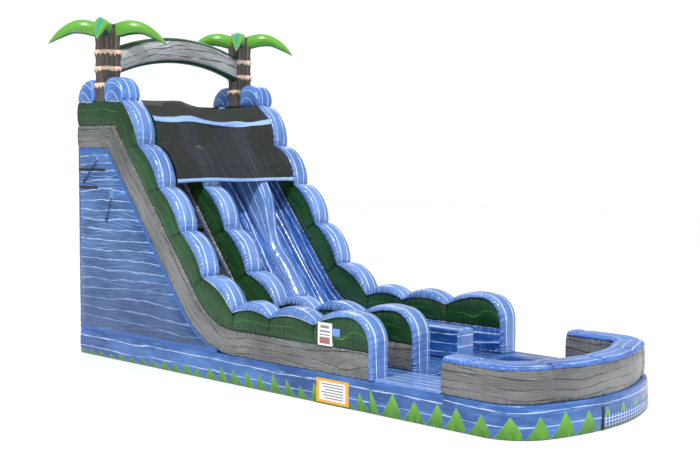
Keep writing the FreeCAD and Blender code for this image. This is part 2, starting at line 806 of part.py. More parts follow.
def loop_solid(side, near, height):
    """A patch with the webbing loop that holds the ring's bar."""
    half = D["patch_size"] / 2
    thick = D["patch_thick"]
    face = side * HALF
    outer = side * (HALF + thick)
    patch = Part.makeBox(thick, 2 * half, 2 * half, at(near + half, height - 60, min(face, outer)))
    x = side * (HALF + RING_STAND)
    wall = D["ring_wire"] + D["pin_gap"] + 3
    grip = Part.makeCylinder(wall, 28, at(near + 14, height, x), Vector(0, 1, 0))
    reach = RING_STAND - thick
    tongue = Part.makeBox(reach, 28, 2 * wall, at(near + 14, height - wall, min(outer, x)))
    bore = Part.makeCylinder(
        D["ring_wire"] + D["pin_gap"], 28, at(near + 14, height, x), Vector(0, 1, 0)
    )
    return patch.fuse([grip, tongue]).cut(bore).Solids[0]


def make_rings():
    loops = []
    for side, word in ((-1, "left"), (1, "right")):
        for level, near, height in RINGS:
            loops.append(loop_solid(side, near, height))
            feature(f"{word}_{level}_ring", ring_solid(side, near, height))
    feature("ring_patches", Part.makeCompound(loops))


def strap_path(points):
    """Straight runs joined by tangent arcs, each as large as its two runs allow."""
    edges, start, radii = [], points[0], []
    for before, corner, after in zip(points, points[1:], points[2:]):
        into, out = (corner - before), (after - corner)
        shorter = min(into.Length, out.Length)
        into.normalize()
        out.normalize()
        turn = into.getAngle(out)
        radius = 0.45 * shorter / math.tan(turn / 2)
        radii.append(round(radius))
        tangent = 0.45 * shorter
        first, last = corner - into * tangent, corner + out * tangent
        inward = (out - into).normalize()
        middle = corner + inward * (radius / math.cos(turn / 2) - radius)
        edges.append(Part.makeLine(start, first))
        edges.append(Part.Arc(first, middle, last).toShape())
        start = last
    edges.append(Part.makeLine(start, points[-1]))
    return Part.Wire(edges), radii


# Each route runs from the foot of its ring, down and back across the side panel to its knot, and is
# given from the middle of the ring's bar.
STRAP_STAND = HALF + 21
ROUTES = {
    "upper": ((-10, -38), (-90, -90), (-185, -165), (-280, -260), (-365, -350), (-450, -422)),
    "lower": ((-5, -38), (-32, -120), (-72, -200), (-100, -290), (-140, -370), (-156, -415)),
}


def make_tie_strap(level, near, height):
    route = [(near + d, height + z) for d, z in ROUTES[level]]
    radius = D["strap_radius"]
    # the straps lean a little away from the panel half way down
    lean = [3 * math.sin(math.pi * k / (len(route) - 1)) for k in range(len(route))]
    points = [at(d, z, -STRAP_STAND - out) for (d, z), out in zip(route, lean)]
    path, radii = strap_path(points)
    start = path.Edges[0]
    circle = Part.makeCircle(radius, points[0], start.tangentAt(start.FirstParameter))
    tube = path.makePipeShell([Part.Wire(circle)], True, False)
    feature(f"{level}_tie_strap", tube.Solids[0])
    ratio = tube.Volume / (math.pi * radius**2 * path.Length)
    print(f"{level} strap: {path.Length:.0f} mm long, radii {radii}, volume ratio {ratio:.4f}")
    end = points[-1] - points[-2]
    end.normalize()
    knot = Part.makeSphere(D["knot_radius"], Vector(0, 0, 0))
    squash = FreeCAD.Matrix()
    squash.scale(0.36, 0.95, 1.0)
    knot = knot.transformGeometry(squash)
    knot.translate(points[-1] + Vector(0, end.y, end.z) * D["knot_radius"] * 0.93)
    feature(f"{level}_strap_knot", knot.cut(tube).Solids[0])


def make_trims():
    """Black webbing across the left side panel."""
    strips = []
    half = D["strip_width"] / 2
    for far, drop in ((940, D["upper_strip_drop"]), (700, D["lower_strip_drop"])):
        height = PLATFORM - drop
        strips.append(plan_box(-HALF - 4, -HALF, 0, far, height - half, height + half))
    feature("side_webbing_strips", Part.makeCompound(strips))


# --- zip, sleeve and blower at the back -----------------------------------------------------------------------------


def behind(distance, height, across):
    """A point behind the slide's back panel."""
    return Vector(across, BACK_Y + distance, height)


def rear_box(left, right, near, far, low, high):
    return Part.makeBox(right - left, far - near, high - low, behind(near, low, left))


def make_zip():
    x = D["zip_centre"]
    low = D["zip_bottom"]
    high = low + D["zip_height"]
    left = x - D["flap_width"] * 0.65
    tape = rear_box(x - 20, x + 20, 0, 4, low, high)
    hem = rear_box(left - 14, left - D["pin_gap"], 0, 20, low - 40, high + 40)
    feature("deflation_zip", Part.makeCompound([tape, hem]))
    slider = rear_box(x - 9, x + 9, 4.5, 12, low + 12, low + 46)
    tab = rear_box(x - 6, x + 6, 7, 10, low - 22, low + 12)
    feature("zip_slider", slider.fuse(tab).Solids[0])
    feature("zip_flap", rear_box(left, left + D["flap_width"], 16, 20, low - 40, high + 40))


BLOWER_FRONT = D["sleeve_length"] - 60
SCROLL_DISTANCE = D["sleeve_length"] + 330
SCROLL_HEIGHT = D["blower_foot"] + D["blower_radius"]


def make_sleeve():
    x, z = D["sleeve_centre"], D["sleeve_height"]
    outer, wall = D["sleeve_radius"], 6
    start = behind(0, z, x)
    tube = Part.makeCylinder(outer, D["sleeve_length"], start, Vector(0, 1, 0))
    tube = tube.cut(Part.makeCylinder(outer - wall, D["sleeve_length"], start, Vector(0, 1, 0)))
    feature("inflation_sleeve", tube)
    band = behind(D["sleeve_length"] - 110, z, x)
    strap = Part.makeCylinder(outer + 4, 40, band, Vector(0, 1, 0))
    strap = strap.cut(Part.makeCylinder(outer, 40, band, Vector(0, 1, 0)))
    buckle = Part.makeBox(50, 46, 14, band + Vector(-25, -3, outer + 1))
    strap = strap.fuse(buckle).cut(Part.makeCylinder(outer, 60, band - Vector(0, 10, 0), Vector(0, 1, 0)))
    feature("sleeve_strap", strap.Solids[0])


def make_blower():
    x, wall = D["sleeve_centre"], D["blower_wall"]
    width, radius = D["blower_width"], D["blower_radius"]
    axis = Vector(1, 0, 0)
    centre = behind(SCROLL_DISTANCE, SCROLL_HEIGHT, x)
    half = width / 2
    neck = D["sleeve_radius"] - 8

    def drum(r, low, high):
        return Part.makeCylinder(r, high - low, centre + Vector(low, 0, 0), axis)

    def duct(r, extra):
        length = SCROLL_DISTANCE - BLOWER_FRONT + extra
        return Part.makeCylinder(r, length, behind(BLOWER_FRONT, D["sleeve_height"], x), Vector(0, 1, 0))

    scroll = drum(radius, -half, half).fuse(duct(neck, 0))
    hollow = drum(radius - wall, -half + wall, half - wall).fuse(duct(neck - wall, 0))
    hollow = hollow.fuse(duct(neck - wall, 0).translated(Vector(0, -20, 0)))
    mouth = drum(0.62 * D["impeller_radius"], -half - 5, -half + wall + 5)
    gland = drum(D["shaft_radius"] + 2, half - wall - 5, half + 5)
    feature("blower_housing", scroll.cut(hollow).cut(mouth).cut(gland).Solids[0])

    outer, inner_rim = D["impeller_radius"], D["impeller_radius"] - 42
    left, right = -D["impeller_width"] / 2, D["impeller_width"] / 2
    wheel = drum(outer, right - 5, right).fuse(drum(28, -10, right))
    blade = Part.makeBox(right - left, 4, outer - inner_rim - 8, Vector(left, -2, inner_rim + 3))
    blades = []
    for k in range(16):
        turned = blade.copy()
        turned.rotate(Vector(0, 0, 0), axis, 360 * k / 16)
        blades.append(turned.translated(centre))
    rim = drum(outer, left - 5, left).cut(drum(inner_rim, left - 6, left + 1))
    shaft = drum(D["shaft_radius"], right - 2, half + 20)
    feature("blower_impeller", wheel.fuse(blades + [rim, shaft]).removeSplitter().Solids[0])

    motor = drum(D["motor_radius"], half, half + D["motor_length"])
    socket = drum(D["shaft_radius"] + D["pin_gap"], half - 1, half + 25)

    grille = drum(0.62 * outer + 20, -half - 8, -half)
    ring_radii = (0.56 * outer, 0.42 * outer, 0.28 * outer)
    for r in ring_radii:
        slot = drum(r, -half - 9, -half + 1).cut(drum(r - 9, -half - 10, -half + 2))
        bars = Part.makeBox(12, 2 * outer, 10, centre + Vector(-half - 10, -outer, -5))
        posts = Part.makeBox(12, 10, 2 * outer, centre + Vector(-half - 10, -5, -outer))
        grille = grille.cut(slot.cut(bars.fuse(posts)))
    feature("blower_intake_grille", grille.Solids[0])

    stand = rear_box(x - half - 20, x + half + 20, SCROLL_DISTANCE - 190, SCROLL_DISTANCE + 190, 0, 80)
    keep_out = drum(radius, -half - 30, half + 30).fuse(duct(neck, 0))
    groove = rear_box(x - half, x + half, SCROLL_DISTANCE - 170, SCROLL_DISTANCE + 170, -1, 12)
    feature("blower_stand", stand.cut(keep_out).cut(groove).Solids[0])

    box_low = SCROLL_HEIGHT + D["motor_radius"] - 4
    box_x = x + half + 40
    control = rear_box(box_x, box_x + 90, SCROLL_DISTANCE - 45, SCROLL_DISTANCE + 45, box_low - 30, box_low + 50)
    pocket = rear_box(box_x + 28, box_x + 62, SCROLL_DISTANCE - 16, SCROLL_DISTANCE + 16, box_low + 30, box_low + 51)
    motor = motor.cut(socket).fuse(control).cut(pocket)
    feature("blower_motor", motor.removeSplitter().Solids[0])
    pivot = Vector(box_x + 45, BACK_Y + SCROLL_DISTANCE, box_low + 46)
    rocker = Part.makeBox(26, 24, 12, pivot - Vector(13, 12, 6))
    feature("blower_switch", rocker)


# --- build, check and write ---------------------------------------------------------------------------------------------

make_base()
make_tower()
make_walls()
make_slide_lanes()
make_ridge()
make_climbing_lane()
make_pool()
make_pool_wall()
make_palms(make_arch())
make_bumps()
make_mesh()
make_rings()
for ring in RINGS:
    make_tie_strap(*ring)
make_trims()
make_zip()
make_sleeve()
make_blower()
doc.recompute()

for item in doc.Objects:
    if "Invalid" in item.State or "Error" in item.State:
        raise RuntimeError(f"{item.Name} is in state {item.State}")
for item in parts:
    if item.Shape.isNull() or not item.Shape.isValid() or not item.Shape.Solids:
        raise RuntimeError(f"{item.Label} has no valid solid")

os.makedirs("parts", exist_ok=True)
for item in parts:
    item.Shape.exportStep(f"parts/{item.Label}.step")
print(len(parts), "sub-parts,", round(sum(p.Shape.Volume for p in parts) / 1e9, 3), "m3")
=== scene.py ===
"""The looks of an inflatable palm-tree water slide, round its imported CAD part. Metres throughout.

Places on the slide are given as (d, z): d is the distance forward of the slide's back, and z is the
height.
Every inflated piece is a loft: rings of points, one after another, whose texture coordinates are
metres along and round the piece, so that the streaks of the printed vinyl run along it.
"""

import math

import bmesh
import bpy
import numpy as np
from mathutils import Matrix, Vector


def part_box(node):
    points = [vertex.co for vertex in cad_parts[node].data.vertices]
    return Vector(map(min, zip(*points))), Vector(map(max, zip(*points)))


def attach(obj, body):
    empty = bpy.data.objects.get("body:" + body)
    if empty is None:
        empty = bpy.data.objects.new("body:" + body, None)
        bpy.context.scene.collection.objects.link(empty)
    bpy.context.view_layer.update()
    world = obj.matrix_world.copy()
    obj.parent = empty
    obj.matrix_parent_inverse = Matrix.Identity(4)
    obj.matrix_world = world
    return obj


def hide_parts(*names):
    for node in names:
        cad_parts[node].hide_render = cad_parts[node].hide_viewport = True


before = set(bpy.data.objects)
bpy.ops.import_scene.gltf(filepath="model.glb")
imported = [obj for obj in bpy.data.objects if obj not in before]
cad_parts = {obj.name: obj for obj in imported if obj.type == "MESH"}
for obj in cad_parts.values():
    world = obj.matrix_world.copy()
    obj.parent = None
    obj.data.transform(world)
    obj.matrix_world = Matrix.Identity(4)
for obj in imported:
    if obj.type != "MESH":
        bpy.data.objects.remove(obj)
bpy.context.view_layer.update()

# --- sizes taken from the frame -------------------------------------------------------------------

HALF, BACK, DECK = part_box("main_base")[1]
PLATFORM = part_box("rear_panel")[1].z
WALL_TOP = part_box("platform_rear_wall")[1].z
INNER = -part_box("left_wall_cap")[1].x
MIDDLE = (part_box("middle_wall_cap")[0].x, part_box("middle_wall_cap")[1].x)
MIDDLE_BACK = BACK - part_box("middle_wall_green_band")[1].y
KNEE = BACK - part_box("platform_floor")[0].y
WALL_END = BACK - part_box("left_wall_green_band")[0].y
CAP_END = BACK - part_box("left_wall_cap")[0].y
RIDGE = [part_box("slide_divider_ridge")[k].x for k in (0, 1)]
POOL_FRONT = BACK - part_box("pool_base")[0].y
SEAM = 2 * BACK

# --- shape of the walls, as in the CAD ------------------------------------------------------------

SLOPE = math.radians(51.8)
FOOT_RADIUS = 1.75
GREY_RISE = 0.44
TOWER_TOP = 1.45
SLOPE_RISE, FRONT_RISE = 0.82, 0.75
SLOPE_PINCHES = (0.57, 1.57, 2.57, 3.57)
FRONT_PINCHES = (4.64, 5.56, 6.60)
SEAM_SWELL, CROWN_SWELL, CAP_EDGE = 0.09, 0.185, 0.06
END_ROUND, END_RISE, END_FALL = 0.43, 0.205, 0.44
BED_RISE, CLIMB_RISE = 0.30, 0.31
MESH_RISE = 1.09

RUN = (PLATFORM - DECK) / math.sin(SLOPE) - FOOT_RADIUS * math.tan(SLOPE / 2)
TURN = FOOT_RADIUS * SLOPE
FOOT_D = KNEE + (PLATFORM - DECK) / math.tan(SLOPE) + FOOT_RADIUS * math.tan(SLOPE / 2)


def foot(above, turn):
    radius = FOOT_RADIUS - above
    return FOOT_D - radius * math.sin(turn), DECK + FOOT_RADIUS - radius * math.cos(turn)


def mix(a, b, t):
    return tuple(p + (q - p) * t for p, q in zip(a, b))


def deck(q, above=0.0):
    """(d, z) of the point above the deck line that is q metres along it from the slide's back."""
    knee = (KNEE + above * math.tan(SLOPE / 2), PLATFORM + above)
    if q <= KNEE:
        return (q / KNEE * knee[0], knee[1])
    q -= KNEE
    if q <= RUN:
        return mix(knee, foot(above, SLOPE), q / RUN)
    q -= RUN
    if q <= TURN:
        return foot(above, SLOPE * (1 - q / TURN))
    return (FOOT_D + q - TURN, DECK + above)


def deck_length(d):
    """The way along the deck line to distance d, on the flat part in front of the slope."""
    return KNEE + RUN + TURN + d - FOOT_D


def on_slope(along, above):
    d = KNEE + along * math.cos(SLOPE) + above * math.sin(SLOPE)
    return d, PLATFORM - along * math.sin(SLOPE) + above * math.cos(SLOPE)


def arc(a, b, rise, t):
    """The point at share t of the arc from a to b that stands rise above their chord."""
    a, b = np.array(a), np.array(b)
    chord = np.linalg.norm(b - a)
    radius = (chord**2 / 4 + rise**2) / (2 * rise)
    half = math.asin(min(1, chord / 2 / radius))
    if rise > chord / 2:
        half = math.pi - half
    turn = (2 * t - 1) * half
    forward = (b - a) / chord
    upward = np.array([-forward[1], forward[0]])
    along = chord / 2 + radius * math.sin(turn)
    return tuple(a + forward * along + upward * (radius * math.cos(turn) - radius + rise))


def pinch(k, above=0.0):
    if k == 0:
        return TOWER_TOP + above * math.sin(SLOPE), WALL_TOP + above * math.cos(SLOPE)
    if k <= 4:
        return on_slope(SLOPE_PINCHES[k - 1], SLOPE_RISE + above)
    return FRONT_PINCHES[k - 5], DECK + FRONT_RISE + above


PINCH_Q = [KNEE] + [KNEE + a for a in SLOPE_PINCHES]
PINCH_Q += [KNEE + RUN + TURN * 0.985] + [deck_length(d) for d in FRONT_PINCHES[1:]]


# --- random but repeatable lines ------------------------------------------------------------------


def ripple(x, wavelength, seed):
    """A smooth random line between -1 and 1."""
    x = np.asarray(x, float) / wavelength
    values = np.random.default_rng(seed).uniform(-1, 1, 4096)
    cell = np.floor(x).astype(int)
    t = x - cell
    t = t * t * (3 - 2 * t)
    return values[cell % 4096] * (1 - t) + values[(cell + 1) % 4096] * t


def gathers(x, seed):
    """Creases of gathered fabric along a seam: sharp valleys between rounded folds, -1 to 0."""
    fine = np.abs(ripple(x, 0.065, seed))
    coarse = np.abs(ripple(x, 0.16, seed + 1))
    return -(0.6 * (1 - fine) ** 3 + 0.7 * (1 - coarse) ** 3)


# --- meshes ---------------------------------------------------------------------------------------

SUFFIX = "_skin"  # a piece that stands for a CAD node has the node's name and this


def finish_piece(obj, material, body="slide", stands_for=()):
    for m in material if isinstance(material, (list, tuple)) else [material]:
        obj.data.materials.append(m)
    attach(obj, body)
    if stands_for:
        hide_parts(*stands_for)
    return obj


def raw_mesh(name, points, faces, uvs=None):
    name += SUFFIX
    mesh = bpy.data.meshes.new(name)
    mesh.from_pydata([tuple(p) for p in points], [], [tuple(f) for f in faces])
    if uvs is not None:
        layer = mesh.uv_layers.new(name="UVMap")
        coords = np.array([c for face_uv in uvs for c in face_uv], float)
        layer.data.foreach_set("uv", coords.ravel())
    mesh.shade_smooth()
    obj = bpy.data.objects.new(name, mesh)
    bpy.context.scene.collection.objects.link(obj)
    return obj


def loft(name, rings, closed=True, capped=True, swap=False, seam=None):
    """A mesh through rings of points (n rings of m). Returns the object; its UVs are in metres.

    seam is how near each of the m points of a ring is to a sewn seam, from 0 to 1.
    """
    rings = np.asarray(rings, float)
    n, m = rings.shape[:2]
    around = m if closed else m - 1
    middle = rings.mean(1)
    along = np.concatenate([[0], np.cumsum(np.linalg.norm(np.diff(middle, axis=0), axis=1))])
    following = np.roll(rings, -1, 1)[:, :around]
    step = np.linalg.norm(following - rings[:, :around], axis=2).mean(0)
    across = np.concatenate([[0], np.cumsum(step)])
    faces, uvs = [], []
    for i in range(n - 1):
        for j in range(around):
            k = (j + 1) % m
            faces.append((i * m + j, i * m + k, (i + 1) * m + k, (i + 1) * m + j))
            corners = ((i, j), (i, j + 1), (i + 1, j + 1), (i + 1, j))
            if swap:
                uvs.append([(across[b], along[a]) for a, b in corners])
            else:
                uvs.append([(along[a], across[b]) for a, b in corners])
    if capped:
        for i, order in ((0, range(m - 1, -1, -1)), (n - 1, range(m))):
            face = [i * m + j for j in order]
            centre = rings[i].mean(0)
            flat = rings[i] - centre
            faces.append(face)
            uvs.append([(flat[j][0] + flat[j][1], flat[j][2]) for j in order])
    obj = raw_mesh(name, rings.reshape(-1, 3), faces, uvs)
    if seam is not None:
        closeness = obj.data.attributes.new("seam", "FLOAT", "POINT")
        closeness.data.foreach_set("value", np.tile(np.asarray(seam, np.float32), n))
    if closed:
        face_outwards(obj)
    return obj


def face_outwards(obj):
    work = bmesh.new()
    work.from_mesh(obj.data)
    bmesh.ops.recalc_face_normals(work, faces=work.faces)
    work.to_mesh(obj.data)
    work.free()


def mark_crease_shade(obj, segments, width, axes):
    """Marks the mesh near sewn creases, given as (start, end) in the plane of these two axes, for the
    painted shade that darkens them.
    """
    count = len(obj.data.vertices)
    co = np.empty(count * 3)
    obj.data.vertices.foreach_get("co", co)
    flat = co.reshape(-1, 3)[:, axes]
    mark = np.zeros(count)
    for start, end in segments:
        a, b = np.array(start), np.array(end)
        t = np.clip(((flat - a) @ (b - a)) / max(1e-9, (b - a) @ (b - a)), 0, 1)
        off = np.linalg.norm(flat - (a + t[:, None] * (b - a)), axis=1)
        mark = np.maximum(mark, np.exp(-((off / width) ** 2)) * (1 - 0.55 * t))
    # the crease attribute drives painted shade in the vinyl materials
    layer = obj.data.attributes.new("crease", "FLOAT", "POINT")
    layer.data.foreach_set("value", mark.astype(np.float32))


def round_ends(rings, radius, both=True):
    """Rounds the ends of a loft inside its length."""
    rings = np.asarray(rings, float)

    def start(rows):
        centre = rows.mean(1)
        inward = centre[min(3, len(centre) - 1)] - centre[0]
        inward /= np.linalg.norm(inward)
        size = np.abs(rows[0] - centre[0]).max(0)
        size = np.sort(size)[1]
        keep = np.linalg.norm(centre - centre[0], axis=1) >= radius
        caps = []
        for turn in np.linspace(0, math.pi / 2, 6):
            shrink = 1 - min(0.85, radius / size) * (1 - math.sin(turn))
            ring = (
                centre[0]
                + inward * radius * (1 - math.cos(turn))
                + (rows[0] - centre[0]) * shrink
            )
            caps.append(ring)
        return np.concatenate([np.array(caps), rows[keep]])

    rings = start(rings)
    return start(rings[::-1])[::-1] if both else rings


def place(x, d, z):
    return (x, BACK - d, z)


def side_profile(recess, count, power=0.75):
    """Share up and depth inside the widest line, for a panel that bulges between two seams."""
    turn = np.linspace(0, math.pi, count)
    return [((1 - math.cos(a)) / 2, recess * (1 - math.sin(a) ** power)) for a in turn]


# --- materials ------------------------------------------------------------------------------------


class Nodes:
    """Short ways to write a node tree."""

    def __init__(self, name, material=None):
        self.material = material or bpy.data.materials.new(name)
        self.material.use_nodes = True
        self.tree = self.material.node_tree
        self.shader = self.tree.nodes["Principled BSDF"]

    def new(self, kind, **settings):
        node = self.tree.nodes.new(kind)
        for key, value in settings.items():
            setattr(node, key, value)
        return node

    def put(self, socket, value):
        if isinstance(value, bpy.types.NodeSocket):
            self.tree.links.new(value, socket)
        else:
            socket.default_value = value

    def math(self, operation, a, b=0.0, c=0.0, clamp=False):
        node = self.new("ShaderNodeMath", operation=operation, use_clamp=clamp)
        for socket, value in zip(node.inputs, (a, b, c)):
            self.put(socket, value)
        return node.outputs[0]

    def uv(self):
        parts = self.new("ShaderNodeSeparateXYZ")
        self.put(parts.inputs[0], self.new("ShaderNodeTexCoord").outputs["UV"])
        return parts.outputs[0], parts.outputs[1]

    def noise(self, u, v, along, across, detail=3.0, offset=0.0, rough=0.5):
        """Noise with these frequencies per metre along and across the piece."""
        place_at = self.new("ShaderNodeCombineXYZ")
        self.put(place_at.inputs[0], self.math("MULTIPLY", u, along))
        self.put(place_at.inputs[1], self.math("MULTIPLY", v, across))
        place_at.inputs[2].default_value = offset
        node = self.new("ShaderNodeTexNoise")
        node.inputs["Scale"].default_value = 1.0
        node.inputs["Detail"].default_value = detail
        node.inputs["Roughness"].default_value = rough
        self.put(node.inputs["Vector"], place_at.outputs[0])
        return node.outputs[0]

    def span(self, value, low, high):
        """0 at low and 1 at high, smoothly."""
        node = self.new("ShaderNodeMapRange", interpolation_type="SMOOTHSTEP")
        self.put(node.inputs["Value"], value)
        node.inputs["From Min"].default_value = low
        node.inputs["From Max"].default_value = high
        return node.outputs[0]

    def mix(self, share, a, b):
        node = self.new("ShaderNodeMix", data_type="RGBA")
        self.put(node.inputs["Factor"], share)
        for socket, value in zip((node.inputs[6], node.inputs[7]), (a, b)):
            self.put(socket, value if isinstance(value, bpy.types.NodeSocket) else (*value, 1))
        return node.outputs[2]

    def lines(self, u, v, gap, width, wobble, offset, share):
        """Thin wandering lines along u, gap apart, with breaks, and how near each is to one."""
        sway = self.noise(u, v, 0.30, 0.9, 1.0, offset)
        wave = self.noise(u, v, 1.4, 2.0, 2.0, offset + 1)
        moved = self.math("MULTIPLY_ADD", sway, wobble * 2.2, v)
        moved = self.math("MULTIPLY_ADD", wave, wobble * 0.55, moved)
        phase = self.math("FRACT", self.math("DIVIDE", moved, gap))
        off = self.math("MULTIPLY", self.math("ABSOLUTE", self.math("SUBTRACT", phase, 0.5)), gap)
        grain = self.noise(u, v, 3.2, 3.0, 3.0, offset + 3)
        thick = self.math("MULTIPLY", self.math("SUBTRACT", grain, 0.26, clamp=True), width * 3.4)
        line = self.math(
            "SUBTRACT", 1.0, self.math("DIVIDE", off, self.math("MAXIMUM", thick, 0.0008)),
            clamp=True
        )
        shown = self.span(
            self.noise(u, v, 0.6, 3.1, 2.0, offset + 7), 0.60 - share * 0.5, 0.78 - share * 0.5
        )
        near = self.math("SUBTRACT", 1.0, self.math("DIVIDE", off, 0.055), clamp=True)
        return self.math("MULTIPLY", self.math("POWER", line, 0.6), shown), near


def fabric_bump(t, u, v, depth, wave=14.0):
    """Small wrinkles of tight vinyl."""
    creases = t.noise(u, v, wave, wave, 4.0, 2.0, 0.6)
    folds = t.span(t.noise(u, v, 15.0, 1.6, 1.5, 8.0, 0.5), 0.36, 0.62)
    seam = t.new("ShaderNodeAttribute", attribute_name="seam").outputs["Fac"]
    height = t.math("MULTIPLY_ADD", t.math("MULTIPLY", folds, seam), 0.030 / depth, creases)
    bump = t.new("ShaderNodeBump")
    bump.inputs["Strength"].default_value = 1.0
    bump.inputs["Distance"].default_value = depth
    t.put(bump.inputs["Height"], height)
    t.put(t.shader.inputs["Normal"], bump.outputs[0])


def vinyl(name, dark, light, wisp, line, gap=0.2, width=0.010, wobble=0.16, share=0.75, gloss=0.27,
          wisps=0.5, bump=0.006, second=None, coat=0.22, specular=0.42, foot=None):
    """Printed vinyl: blotches of two tones, soft wisps and thin lines that run along the piece. foot,
    if given, adds painted shade: lower down the colour darkens towards navy, as under light from
    above.
    """
    t = Nodes(name)
    u, v = t.uv()
    blotch = t.span(t.noise(u, v, 0.8, 2.2, 4.0, 1.0), 0.33, 0.68)
    colour = t.mix(blotch, dark, light)
    main, near = t.lines(u, v, gap, width, wobble, 11.0, share)
    streak = t.span(t.noise(u, v, 2.4, 17.0, 5.0, 5.0, 0.62), 0.50, 0.72)
    spread = t.math("MULTIPLY", streak, t.math("MULTIPLY_ADD", near, wisps, wisps * 0.45))
    colour = t.mix(spread, colour, wisp)
    if second:
        thin, _ = t.lines(u, v, gap * 0.37, width * 0.55, wobble * 1.3, 21.0, 0.35)
        colour = t.mix(thin, colour, second)
    colour = t.mix(main, colour, line)
    # painted shade: the colour darkens in the marked creases, where shade falls
    crease = t.new("ShaderNodeAttribute", attribute_name="crease").outputs["Fac"]
    colour = t.mix(t.math("MULTIPLY", crease, 0.8), colour, tuple(c * 0.35 for c in dark))
    # painted shade: towards the bottom (v from foot[1] down to foot[0]) the colour is mixed with
    # navy, up to foot[2], standing in for light falling from above
    if foot:
        colour = t.mix(t.math("MULTIPLY", t.span(v, foot[1], foot[0]), foot[2]), colour, SHADE_NAVY)
    t.put(t.shader.inputs["Base Color"], colour)
    t.shader.inputs["Roughness"].default_value = gloss
    t.shader.inputs["Specular IOR Level"].default_value = specular
    t.shader.inputs["Coat Weight"].default_value = coat
    t.shader.inputs["Coat Roughness"].default_value = 0.14
    fabric_bump(t, u, v, bump)
    return t.material


def plain(name, colour, roughness, metal=0.0, coat=0.0, bump=0.0, wave=40.0, vary=0.12):
    t = Nodes(name)
    coordinates = t.new("ShaderNodeTexCoord").outputs["Object"]
    node = t.new("ShaderNodeTexNoise")
    node.inputs["Scale"].default_value = wave
    node.inputs["Detail"].default_value = 3.0
    t.put(node.inputs["Vector"], coordinates)
    darker = tuple(c * (1 - vary) for c in colour)
    lighter = tuple(min(1, c * (1 + vary)) for c in colour)
    t.put(t.shader.inputs["Base Color"], t.mix(node.outputs[0], darker, lighter))
    t.shader.inputs["Roughness"].default_value = roughness
    t.shader.inputs["Metallic"].default_value = metal
    t.shader.inputs["Coat Weight"].default_value = coat
    if bump:
        relief = t.new("ShaderNodeBump")
        relief.inputs["Distance"].default_value = bump
        t.put(relief.inputs["Height"], node.outputs[0])
        t.put(t.shader.inputs["Normal"], relief.outputs[0])
    return t.material


# the first is the navy of the painted shade at the foot of the panels
SHADE_NAVY, FOAM = (0.006, 0.030, 0.11), (0.56, 0.69, 0.92)
BLUE_CAP = vinyl("blue_cap_vinyl", (0.068, 0.160, 0.42), (0.135, 0.25, 0.55), (0.27, 0.42, 0.74),
                 (0.72, 0.82, 0.98), gap=0.185, width=0.013, wobble=0.07, share=1.0, wisps=0.75,
                 bump=0.004,
                 gloss=0.24, coat=0.3)
# the panels carry painted shade through foot: darker towards the bottom
BLUE_PANEL = vinyl("blue_panel_vinyl", (0.017, 0.066, 0.20), (0.055, 0.145, 0.36),
                   (0.14, 0.29, 0.60),
                   (0.44, 0.62, 0.90), gap=0.19, width=0.011, wobble=0.19, share=0.9, wisps=0.9,
                   bump=0.005,
                   second=(0.20, 0.38, 0.72), foot=(0.4, 3.1, 0.62))
BLUE_BUMP = vinyl("blue_bump_vinyl", (0.030, 0.105, 0.35), (0.090, 0.22, 0.55), (0.20, 0.40, 0.76),
                  (0.60, 0.74, 0.95), gap=0.15, width=0.009, wobble=0.16, share=0.9, wisps=0.9,
                  bump=0.005)
BLUE_LANE = vinyl("blue_lane_vinyl", (0.006, 0.045, 0.21), (0.035, 0.13, 0.46), (0.19, 0.38, 0.80),
                  (0.66, 0.78, 0.97), gap=0.14, width=0.011, wobble=0.18, share=0.8, wisps=1.0,
                  bump=0.010,
                  gloss=0.20, coat=0.3)
BLUE_DARK = vinyl("blue_dark_vinyl", (0.004, 0.035, 0.16), (0.02, 0.09, 0.34), (0.12, 0.28, 0.64),
                  FOAM,
                  gap=0.17, width=0.009, wobble=0.24, share=0.65, wisps=0.9, bump=0.008, gloss=0.22)
POOL_TOP = vinyl("pool_top_vinyl", (0.018, 0.080, 0.33), (0.060, 0.185, 0.54), (0.20, 0.38, 0.78),
                 (0.62, 0.76, 0.97), gap=0.165, width=0.009, wobble=0.22, share=0.85, wisps=0.9,
                 bump=0.006,
                 gloss=0.24)
GREY = vinyl("grey_vinyl", (0.105, 0.107, 0.107), (0.185, 0.187, 0.187), (0.25, 0.255, 0.255),
             (0.016, 0.013, 0.011), gap=0.17, width=0.013, wobble=0.34, share=0.85, wisps=0.6,
             bump=0.006,
             second=(0.035, 0.030, 0.026), gloss=0.33, coat=0.12)
ARCH_GREY = vinyl("arch_grey_vinyl", (0.21, 0.22, 0.225), (0.40, 0.415, 0.43), (0.52, 0.54, 0.56),
                  (0.012, 0.010, 0.009), gap=0.13, width=0.013, wobble=0.30, share=0.95, wisps=0.7,
                  bump=0.006,
                  second=(0.05, 0.045, 0.04), gloss=0.30, coat=0.15)
GREEN = vinyl("green_vinyl", (0.008, 0.038, 0.012), (0.018, 0.072, 0.026), (0.030, 0.105, 0.032),
              (0.05, 0.26, 0.028), gap=0.24, width=0.006, wobble=0.5, share=0.6, wisps=0.6,
              bump=0.004,
              second=(0.006, 0.024, 0.009), gloss=0.30, coat=0.06, specular=0.26)
CLIMB = vinyl("climbing_vinyl", (0.028, 0.028, 0.025), (0.075, 0.075, 0.066), (0.13, 0.13, 0.12),
              (0.008, 0.008, 0.007), gap=0.12, width=0.02, wobble=0.3, share=0.6, wisps=0.6,
              gloss=0.42, coat=0.1)
BARK = vinyl("bark_vinyl", (0.040, 0.032, 0.027), (0.085, 0.069, 0.059), (0.13, 0.11, 0.095),
             (0.26, 0.21, 0.165), gap=0.115, width=0.008, wobble=0.05, share=0.75, wisps=0.9,
             gloss=0.45,
             coat=0.05, second=(0.016, 0.012, 0.010), bump=0.012)
